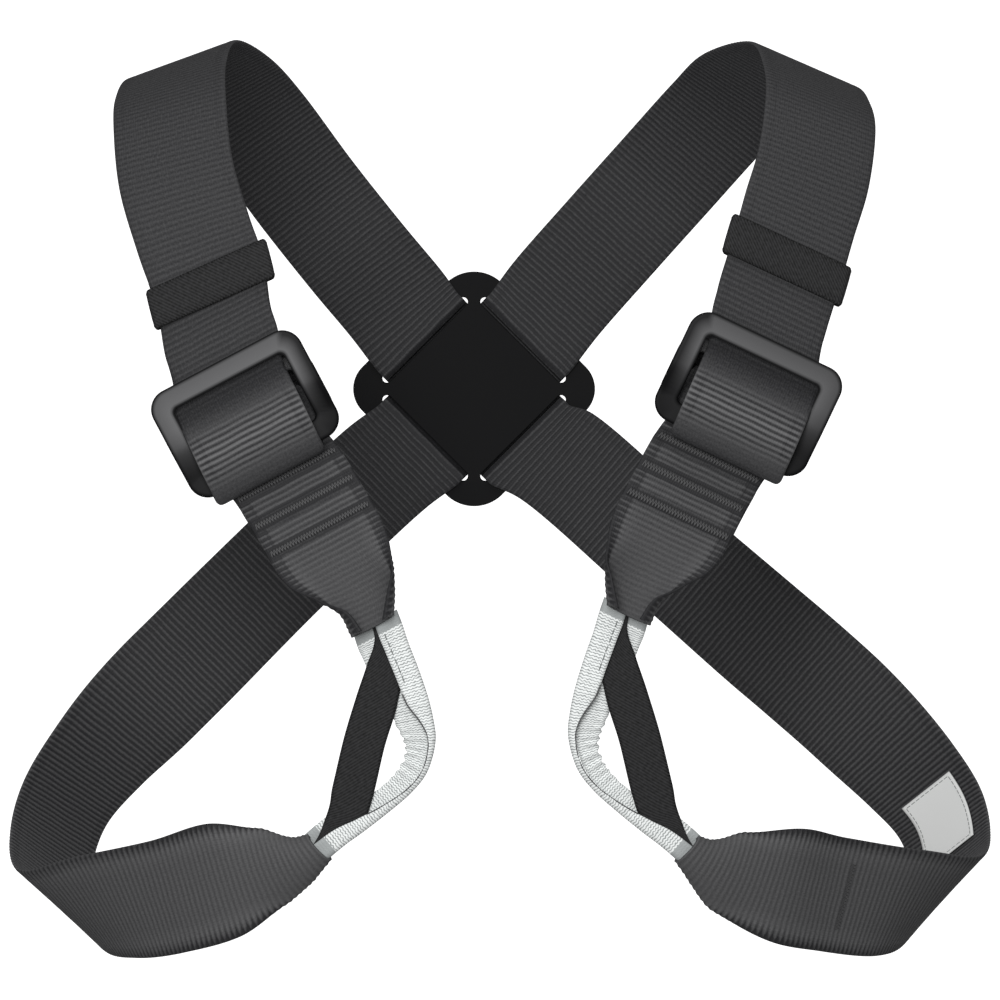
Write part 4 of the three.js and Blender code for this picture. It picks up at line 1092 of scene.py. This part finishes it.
def keeper(name, shoulder, buckle):
    """Rings round the keeper's outline from its upper edge to its lower edge, outside and then
    inside. Teeth lift the outer face in a cosine along the edge, and painted shade darkens the
    face where it is lower, at its rounded edges and between the teeth."""
    middle = row_places(shoulder)[-1]
    above = row_places(shoulder)[-2]
    across = lean_vector(np.float64(shoulder[-1][3]), buckle.side)
    down, shift, ride = BUCKLE_ROLL[0, :3]
    below = buckle.at(shift * FRAME_PLAY, down * FRAME_HEIGHT / 2, ride * bar_clear)
    along = unit(below - above)
    out = unit(np.cross(along, across))
    steps = int(2 * (WEB_WIDTH + KEEPER_ROUND) / ELASTIC_STEP)
    outer, around = keeper_outline(KEEPER_THICK, steps)
    inner, _ = keeper_outline(0, steps)
    end, lift, toothed = KEEPER_RINGS.T
    tooth = 0.5 - 0.5 * np.cos(TAU * around / ELASTIC_PITCH)
    level = lift[:, None] - toothed[:, None] * tooth
    shade = np.concatenate([KEEPER_SHADE + TOOTH_SHADE * (1 - level),
                            np.full((2, steps), KEEPER_SHADE)])
    spot = inner + (outer - inner) * level[..., None]
    ends = np.broadcast_to(end[:, None], spot.shape[:2])
    inside = np.broadcast_to(inner, (2, *inner.shape))
    spot = np.concatenate([spot, inside])
    ends = np.concatenate([ends, np.array([[1.0], [-1.0]]) * np.ones(steps)])
    aside = np.abs(spot[..., 0]) / (WEB_WIDTH / 2 + KEEPER_SIDE_EASE + KEEPER_THICK)
    corner = np.clip((aside - CORNER_START) / (1 - CORNER_START), 0, 1) ** 2
    half = KEEPER_LENGTH / 2 - KEEPER_CORNER * corner
    points = (middle + spot[..., :1] * across + spot[..., 1:] * out
              + (ends * half)[..., None] * along)
    uv = np.stack([ends * KEEPER_LENGTH / 2, np.broadcast_to(around, ends.shape)], -1)
    faces = ring_faces(len(spot), steps, closed=True)
    return add_piece(name, points.reshape(-1, 3), [faces], elastic, uv.reshape(-1, 2),
                     f"keeper_{name.split('_')[0]}", shade=shade.ravel())


keeper("left_elastic_keeper", SHOULDER_LEFT, buckles["left"])
keeper("right_elastic_keeper", SHOULDER_RIGHT, buckles["right"])

# %% [markdown]
# ## Tie-in loops and their bands
# The rope is tied into two pale loops. Each is a tape folded along its length, so that a narrow
# front flap lies over a wider back flap, and it bows to the middle of the chest. A black band
# runs straight between the flaps and keeps the loop open.

# %% Loop and band rows
LOOP_WIDTH = 19.0
LOOP_THICK = 1.3
LOOP_BOW = 34.0
BAND_WIDTH = 16.0
BAND_THICK = 1.4
NECK_DEPTH = 3.9
flap_offset = (BAND_THICK + LOOP_THICK) / 2 + GAP
# columns: share of the way, share of the bow, back flap and front flap in loop widths
LOOP = np.array([
    (-0.1, 0.2, 1.0, 0.52), (-0.045, 0.3, 1.02, 0.53), (0.025, 0.415, 0.98, 0.5),
    (0.12, 0.59, 0.95, 0.49), (0.24, 0.79, 0.83, 0.45), (0.33, 0.91, 0.76, 0.26),
    (0.4, 0.98, 0.68, 0.16), (0.49, 1.0, 0.56, 0.12), (0.575, 0.97, 0.53, 0.11),
    (0.665, 0.86, 0.5, 0.12), (0.765, 0.68, 0.5, 0.18), (0.88, 0.45, 0.62, 0.3),
    (0.95, 0.3, 0.68, 0.38), (1.04, 0.13, 0.68, 0.42),
])
# columns: share of the way, share of the bow, share of the band's width
BAND = np.array([
    (-0.05, -0.02, 0.25), (-0.01, 0.05, 0.3), (0.04, 0.15, 0.5), (0.16, 0.225, 0.85),
    (0.31, 0.235, 1), (0.49, 0.215, 1), (0.72, 0.225, 1), (0.82, 0.215, 0.9), (0.89, 0.13, 0.62),
    (0.95, 0.05, 0.34), (1.0, -0.02, 0.2),
])
# the band's section: curl of its edges in degrees, and depth of the curl
BAND_CURL = (2.0, 0.2)
print("flaps are", flap_offset, "mm from the loop's own plane")


# %% Loop and band paths
def plane_track(rows, underarm, buckle, shapes, width, thick, on_lips=False):
    """A track in the loop's own plane, from the tab's neck to the strap's neck. Its width
    direction is square to the path, towards the bow, and at the lips of the necks along them."""
    start = buckle.at(TAB[0, 1] * WEB_WIDTH, buckle.drop, TAB_LIFT - NECK_DEPTH)
    end = row_places(underarm)[-1] + [0, NECK_DEPTH, 0]
    length = np.linalg.norm(end - start)
    along = (end - start) / length
    bowed = unit(np.array([-along[2], 0, along[0]]))
    bowed *= np.sign(bowed[0] * -buckle.side)
    facing = np.cross(bowed, along) * buckle.side
    places = start + rows[:, :1] * length * along + rows[:, 1:2] * LOOP_BOW * bowed
    _, tangents = smooth_curve(places, np.arange(len(rows), dtype=float))
    widths = -buckle.side * np.cross(facing, tangents)
    if on_lips:
        lips = np.stack([buckle.across, lean_vector(underarm[-1][3], -buckle.side)])
        lips = unit(lips - (lips @ facing)[:, None] * facing)
        lips *= np.sign(lips @ bowed)[:, None]
        widths[[0, 1, -1]] = lips[[0, 0, 1]]
    return Track(places, widths, shapes, width, thick, facing)


def loop_track(underarm, buckle):
    """The tape's fold, with the widths of its two flaps as its shape."""
    shapes = np.column_stack([LOOP[:, 2:] * LOOP_WIDTH, 0 * LOOP[:, 0]])
    return plane_track(LOOP, underarm, buckle, shapes, LOOP_WIDTH, LOOP_THICK, on_lips=True)


def band_track(underarm, buckle):
    """The band's middle line, with a nearly flat section."""
    shapes = np.column_stack([BAND[:, 2], np.tile(BAND_CURL, (len(BAND), 1))])
    return plane_track(BAND, underarm, buckle, shapes, BAND_WIDTH, BAND_THICK)


loops = {"left": loop_track(UNDERARM_LEFT, buckles["left"]),
         "right": loop_track(UNDERARM_RIGHT, buckles["right"])}
bands = {"left": band_track(UNDERARM_LEFT, buckles["left"]),
         "right": band_track(UNDERARM_RIGHT, buckles["right"])}
print("loop lengths:", *[round(loop.length) for loop in loops.values()], "mm")

# %% [markdown]
# ## The tape of the loops
# The tape is woven from pale polyamide, which is matt and nearly white. Its weft runs across it as
# fine wavy lines that dent the surface, and painted shade greys the tape in the dents, the one
# thing that breaks its white. The lines are a cosine of the distance along the tape, bent by a
# sine of the distance across and by a slow noise. Near its ends the tape is greyer, and the lines
# stop there.

# %% Tape material, in mm
# the real lines are about half as far apart, and are drawn coarser so that they show
LOOP_PITCH = 1.15
ZIGZAG_PITCH = 1.6
ZIGZAG_REACH = 0.16
DRIFT_SCALE = 0.9
DRIFT_REACH = 0.9
LINE_FROM, LINE_TO, LINE_STRENGTH = -0.1, 0.95, 0.85
LINE_DEPTH = 0.12
loop_tape, tree, shader = new_material("woven polyamide tape", Roughness=0.75,
                                       Specular_IOR_Level=0.3)
place = add_node(tree, "ShaderNodeUVMap", uv_map="cloth").outputs[0]
parts = add_node(tree, "ShaderNodeSeparateXYZ", {0: place})
drift = add_node(tree, "ShaderNodeTexNoise", {0: place, "Scale": DRIFT_SCALE, "Detail": 1.0})
wobble = add_node(tree, "ShaderNodeMath", {0: drift.outputs[0], 1: DRIFT_REACH,
                                           2: parts.outputs[1]}, operation="MULTIPLY_ADD")
swing = add_node(tree, "ShaderNodeMath", {0: parts.outputs[0], 1: TAU / ZIGZAG_PITCH},
                 operation="MULTIPLY")
zigzag = add_node(tree, "ShaderNodeMath", {0: swing.outputs[0]}, operation="SINE")
bent = add_node(tree, "ShaderNodeMath", {0: zigzag.outputs[0], 1: ZIGZAG_REACH,
                                         2: wobble.outputs[0]}, operation="MULTIPLY_ADD")
turn = add_node(tree, "ShaderNodeMath", {0: bent.outputs[0], 1: TAU / LOOP_PITCH},
                operation="MULTIPLY")
wave = add_node(tree, "ShaderNodeMath", {0: turn.outputs[0]}, operation="COSINE")
line = add_node(tree, "ShaderNodeMapRange", {0: wave.outputs[0], 1: LINE_FROM, 2: LINE_TO,
                                             4: LINE_STRENGTH})
# white mixed towards grey by the lines: painted shade in their dents
striped = add_node(tree, "ShaderNodeMix", {0: line.outputs[0], 6: linear("#e6e9e8"),
                                           7: linear("#767b7b")}, data_type="RGBA")
# the tape is greyer near its ends
end_grey = add_node(tree, "ShaderNodeAttribute", attribute_name="shade").outputs["Fac"]
colour = add_node(tree, "ShaderNodeMix", {0: end_grey, 6: striped.outputs[2],
                                          7: linear("#9a9e9e")}, data_type="RGBA")
tree.links.new(colour.outputs[2], shader.inputs["Base Color"])
fine = add_node(tree, "ShaderNodeBump", {"Height": line.outputs[0], "Strength": 0.5,
                                         "Distance": -LINE_DEPTH * MM})
tree.links.new(fine.outputs[0], shader.inputs["Normal"])
print("loops:", loop_tape.name)

# %% Folded loops, in mm
END_BAND = 5.2
LOOP_STEP = LOOP_PITCH / 5
FLAP_POINTS = 9
SWELL = 0.12
SWELL_LENGTHS = (9.7, 23.0)
BEND_SHARE = 0.52
BEND_REACH = 17.0
FOLD_PITCH = 4.6
FOLD_DRIFT = 3.0
PUCKER = 0.6
SCALLOP = 0.5
EDGE_THIN = 0.35


def folded_loop(name, track, stands_for):
    """Across the tape: back flap, half circle round the outer fold, front flap. The tape swells
    a little along its length, and the inner edge puckers in the bend: sines along the tape,
    strongest where the loop turns and fading as a bell curve to both sides."""
    fold_side = -(flap_offset + LOOP_THICK / 2)
    back_share = np.linspace(0, 1, FLAP_POINTS)
    angle = np.pi * (np.linspace(0, 1, FLAP_POINTS) - 0.5)
    front_share = np.linspace(0, 1, FLAP_POINTS - 1)
    count = len(back_share) + len(angle) + len(front_share) - 2
    rows = int(round(track.length / LOOP_STEP)) + 1
    along = np.linspace(0, track.length, rows)
    place, across, out, shape = track.stations(along)
    back, front = shape[:, :1], np.maximum(shape[:, 1:2], GAP - fold_side)
    side = np.hstack([fold_side * back_share - back * (1 - back_share),
                      np.tile(fold_side + flap_offset * np.cos(angle), (rows, 1))[:, 1:],
                      (fold_side * (1 - front_share) - front * front_share)[:, 1:]])
    flat_back, flat_front = np.ones(FLAP_POINTS), np.ones(FLAP_POINTS - 2)
    level = flap_offset * np.concatenate([-flat_back, np.sin(angle)[1:], flat_front])
    normal_side = np.concatenate([0 * flat_back, np.cos(angle)[1:], 0 * flat_front])
    normal_out = np.concatenate([-flat_back, np.sin(angle)[1:], flat_front])
    short, long = SWELL_LENGTHS
    swelling = SWELL * (np.sin(TAU * along / short) * np.sin(TAU * along / long))[:, None]
    bend = np.exp(-((along - track.length * BEND_SHARE) / BEND_REACH) ** 2)[:, None]
    near_edge = np.concatenate([1 - back_share, np.zeros(count - FLAP_POINTS)])
    wave_along = np.sin(TAU * along / FOLD_PITCH + np.sin(along / FOLD_DRIFT))[:, None]
    folds = bend * near_edge * wave_along
    half = LOOP_THICK / 2
    thin = np.ones(count)
    thin[[0, -1]] = EDGE_THIN
    faces_out = []
    for sign in (1, -1):
        off = sign * half * thin
        x = side + normal_side * off + SCALLOP * folds
        y = level + normal_out * off + PUCKER * folds + swelling
        faces_out.append(place[:, None] + across[:, None] * x[..., None]
                         + out[:, None] * y[..., None])
    points = np.concatenate([faces_out[0], faces_out[1][:, ::-1]], axis=1)
    ring = points.shape[1]
    quads = [ring_faces(rows, ring)]
    half_ring = np.arange(count - 1)
    cap = np.stack([half_ring, half_ring + 1, ring - 2 - half_ring, ring - 1 - half_ring], -1)
    quads += [cap, cap[:, ::-1] + (rows - 1) * ring]
    spread = np.concatenate([side, side[:, ::-1]], axis=1)
    uv = np.stack([spread, np.broadcast_to(along[:, None], spread.shape)], -1)
    from_end = np.minimum(along, track.length - along)
    shade = np.broadcast_to((from_end < END_BAND)[:, None], spread.shape)
    return add_piece(name, points.reshape(-1, 3), [np.concatenate(quads)], loop_tape,
                     uv.reshape(-1, 2), stands_for, shade=shade.ravel())


for name, loop in loops.items():
    folded_loop(f"{name}_folded_loop", loop, f"tie_in_loop_{name}")

# %% The flaps' seams, in mm
SEAM_INSET = 2.4
SEAM_LENGTH = 22.0
SEAM_RADIUS = 0.2
SEAM_SINK = 0.1
STITCH_PITCH = 3.6
STITCH_LENGTH = 2.8
STITCH_ARCH = 0.25
STITCH_POINTS = 8
# a dark tube as painted shadow at the flap's free edge: where it runs, its points, how deep, how
# thick
EDGE_SHARES = (0.27, 0.8)
EDGE_POINTS = 90
EDGE_SINK = 0.15
EDGE_RADIUS = 0.24


def flap_seam(track):
    """Running stitches beside the front flap's free edge, below the end band, each lifted as
    half a sine wave."""
    starts = np.arange(END_BAND + 1, END_BAND + SEAM_LENGTH, STITCH_PITCH)
    share = np.linspace(0, 1, STITCH_POINTS)
    along = starts[:, None] + STITCH_LENGTH * share
    place, across, out, shape = track.stations(along.ravel())
    inset = SEAM_INSET - shape[:, 1]
    arch = STITCH_ARCH * np.sin(np.pi * np.tile(share, len(starts)))
    level = flap_offset + LOOP_THICK / 2 + arch - SEAM_SINK
    points = place + across * inset[:, None] + out * level[:, None]
    return points.reshape(len(starts), STITCH_POINTS, 3)


def flap_edge_shadow(track):
    """A line along the front flap's free edge, through the bend of the loop, for the dark
    tube of painted shadow there.
    """
    along = track.length * np.linspace(*EDGE_SHARES, EDGE_POINTS)
    place, across, out, shape = track.stations(along)
    level = flap_offset + LOOP_THICK / 2 - EDGE_SINK
    return place - across * shape[:, 1:2] + out * level


for name, loop in loops.items():
    thread_tubes(f"{name}_flap_seam", flap_seam(loop), pale_thread, SEAM_RADIUS)
    # the dark tube along the free edge is painted shadow, in the thread's colour
    thread_tubes(f"{name}_flap_edge_shadow", [flap_edge_shadow(loop)], thread, EDGE_RADIUS)

# %% Bands, in mm
TOOTH_DEPTH = 0.42
TOOTH_REACH = 1.1
TOOTH_FADE = 0.5
# rows as in weave_strip: a fixed share of the valley colour, and painted shade in the teeth's
# valleys
BAND_TONES = np.array([(0, 0.5, 0.6, 1), (10, 0.5, 0.6, 1)])


def band_depth(side, along, width):
    """Teeth at the selvedges, as a cosine along each edge. The face between them is smooth, and
    its twill is in the material."""
    from_edge = (1 - np.abs(side)) * width / 2
    tooth = 0.5 - 0.5 * np.cos(TAU * along / ELASTIC_PITCH)
    return TOOTH_DEPTH * tooth * np.clip((TOOTH_REACH - from_edge) / TOOTH_FADE, 0, 1)


for name, band in bands.items():
    weave_strip(f"{name}_loop_band", band, elastic, ELASTIC_STEP, band_depth,
                f"loop_band_{name}", BAND_TONES)

# %% [markdown]
# ## Care label
# A label of white satin ribbon is stitched to the inner face of one strap, near the under-arm
# bend. It is left bare here. It is a thin patch that follows the strap's own surface, so it bends
# with the webbing, and running stitches of pale thread go round it. Satin is woven with long
# floating yarns, so it looks smooth and shines softly.

# %% Label, in mm
LABEL_THICK = 0.5
LABEL_GAP = 0.63
LABEL_ROWS = (7.1, 8.6)
LABEL_EDGES = (-0.54, 0.66)
LABEL_COLUMNS = 24
LABEL_STATIONS = 60
satin, tree, shader = new_material("white satin ribbon", Roughness=0.5)
shader.inputs["Base Color"].default_value = linear("#d8d9d8")
label_set = -(WEB_THICK / 2 + LABEL_GAP + LABEL_THICK / 2)


def patch(name, track, rows, edges, offset, thick, material, stands_for):
    """A thin rectangle on a strip, between two controls and two positions across."""
    start, stop = (track.along(row) for row in rows)
    front = np.linspace(*edges, LABEL_COLUMNS)
    side = np.concatenate([front, front[::-1]])
    along = np.linspace(start, stop, LABEL_STATIONS)
    s, a = (grid.ravel() for grid in np.meshgrid(side, along))
    level = offset + thick / 2 * np.tile(np.repeat([1, -1], len(front)), len(along))
    points = cloth_points(track, s, a, level)
    ring = len(side)
    half = np.arange(len(front) - 1)
    cap = np.stack([half, half + 1, ring - 2 - half, ring - 1 - half], -1)
    quads = [ring_faces(len(along), ring), cap, cap[:, ::-1] + (len(along) - 1) * ring]
    uv = np.stack([s * track.width / 2, a], -1)
    return add_piece(name, points, [np.concatenate(quads)], material, uv, stands_for)


patch("satin_care_label", straps["left"], LABEL_ROWS, LABEL_EDGES, label_set, LABEL_THICK,
      satin, "care_label")

# %% Label stitches, in mm
LABEL_SEAM_INSET = 1.5
LABEL_STITCH_PITCH = 2.6
LABEL_THREAD_RADIUS = 0.16
# where a stitch starts in its pitch, how much of it the thread fills, and its points
STITCH_START, STITCH_FILL, LABEL_STITCH_POINTS = 0.15, 0.7, 6


def label_stitches(track, rows, edges, inset, pitch):
    """Running stitches round the label, inset from its edges, on its visible face."""
    start, stop = (track.along(row) for row in rows)
    low, high = (edge * track.width / 2 for edge in edges)
    corners = np.array([(low + inset, start + inset), (high - inset, start + inset),
                        (high - inset, stop - inset), (low + inset, stop - inset)])
    face = label_set - LABEL_THICK / 2
    in_stitch = np.linspace(0, 1, LABEL_STITCH_POINTS)
    lines = []
    for here, there in zip(corners, np.roll(corners, -1, axis=0)):
        count = int(np.linalg.norm(there - here) / pitch)
        for i in range(count):
            share = (i + STITCH_START + STITCH_FILL * in_stitch) / count
            spot = here + (there - here) * share[:, None]
            lines.append(cloth_points(track, spot[:, 0] * 2 / track.width, spot[:, 1],
                                      np.full(LABEL_STITCH_POINTS, face)))
    return lines


stitches = label_stitches(straps["left"], LABEL_ROWS, LABEL_EDGES, LABEL_SEAM_INSET,
                          LABEL_STITCH_PITCH)
thread_tubes("label_stitches", stitches, pale_thread, LABEL_THREAD_RADIUS)

# %% [markdown]
# ## Studio
# The picture is a plain product shot: an even white surround and soft light from the front and a
# little above. The surround is a white dome that only the camera sees, so the dark pieces aren't
# washed out by it, and the floor is pale and far below, since the harness hangs free.

# %% Light, in metres and watts
SURROUND_LIGHT = 0.3
KEY = {"place": (-0.12, -0.85, -0.02), "aim": (0, 0, -0.2), "size": 0.45, "power": 5.7}
TOP = {"place": (0.05, -0.45, 0.8), "aim": (0, 0, -0.1), "size": 0.45, "power": 3.6}
scene = bpy.context.scene
scene.view_settings.view_transform = "Standard"
world = bpy.data.worlds.new("soft grey studio")
world.use_nodes = True
world.node_tree.nodes["Background"].inputs[0].default_value = linear("#ffffff")
world.node_tree.nodes["Background"].inputs[1].default_value = SURROUND_LIGHT
scene.world = world


def add_light(name, place, aim, size, power):
    """A square area light that looks from its place to its aim."""
    data = bpy.data.lights.new(name, "AREA")
    data.size = size
    data.energy = power
    light = bpy.data.objects.new(name, data)
    light.location = place
    towards = unit(np.array(aim) - np.array(place))
    pitch = np.arccos(-towards[2])
    light.rotation_euler = (pitch, 0.0, np.arctan2(towards[1], towards[0]) - np.pi / 2)
    bpy.context.collection.objects.link(light)


add_light("key", **KEY)
add_light("top", **TOP)
print("lights:", KEY["power"], "and", TOP["power"], "W")


# %% Surround and floor, in metres
def add_stage(name, points, faces, colour, strength):
    """A plain surface that isn't part of the harness."""
    mesh = bpy.data.meshes.new(name)
    mesh.from_pydata(points, [], faces)
    material, tree, shader = new_material(name, Roughness=0.9)
    shader.inputs["Base Color"].default_value = linear(colour)
    shader.inputs["Emission Color"].default_value = linear(colour)
    shader.inputs["Emission Strength"].default_value = strength
    mesh.materials.append(material)
    surface = bpy.data.objects.new(name, mesh)
    bpy.context.collection.objects.link(surface)
    return surface


FLOOR_LEVEL = -0.8
FLOOR_HALF = 1.6
corners = [(-1, -1), (1, -1), (1, 1), (-1, 1)]
add_stage("pale floor", [(x * FLOOR_HALF, y * FLOOR_HALF, FLOOR_LEVEL) for x, y in corners],
          [(0, 1, 2, 3)], "#e8e8e8", 0.0)

DOME_RADIUS = 12.0
DOME_TURNS, DOME_TILTS = 48, 25
NEAR_POLE = 0.499
turns = TAU * np.arange(DOME_TURNS) / DOME_TURNS
tilts = np.linspace(-NEAR_POLE, NEAR_POLE, DOME_TILTS)[:, None] * np.pi
dome = np.stack([np.cos(tilts) * np.cos(turns), np.cos(tilts) * np.sin(turns),
                 np.sin(tilts) + 0 * turns], -1).reshape(-1, 3)
surround = add_stage("white surround", (dome * DOME_RADIUS).tolist(),
                     ring_faces(DOME_TILTS, DOME_TURNS).tolist(), "#ffffff", 1.0)
for ray in ("diffuse", "glossy", "transmission", "volume_scatter", "shadow"):
    setattr(surround, f"visible_{ray}", False)
print("studio ready")
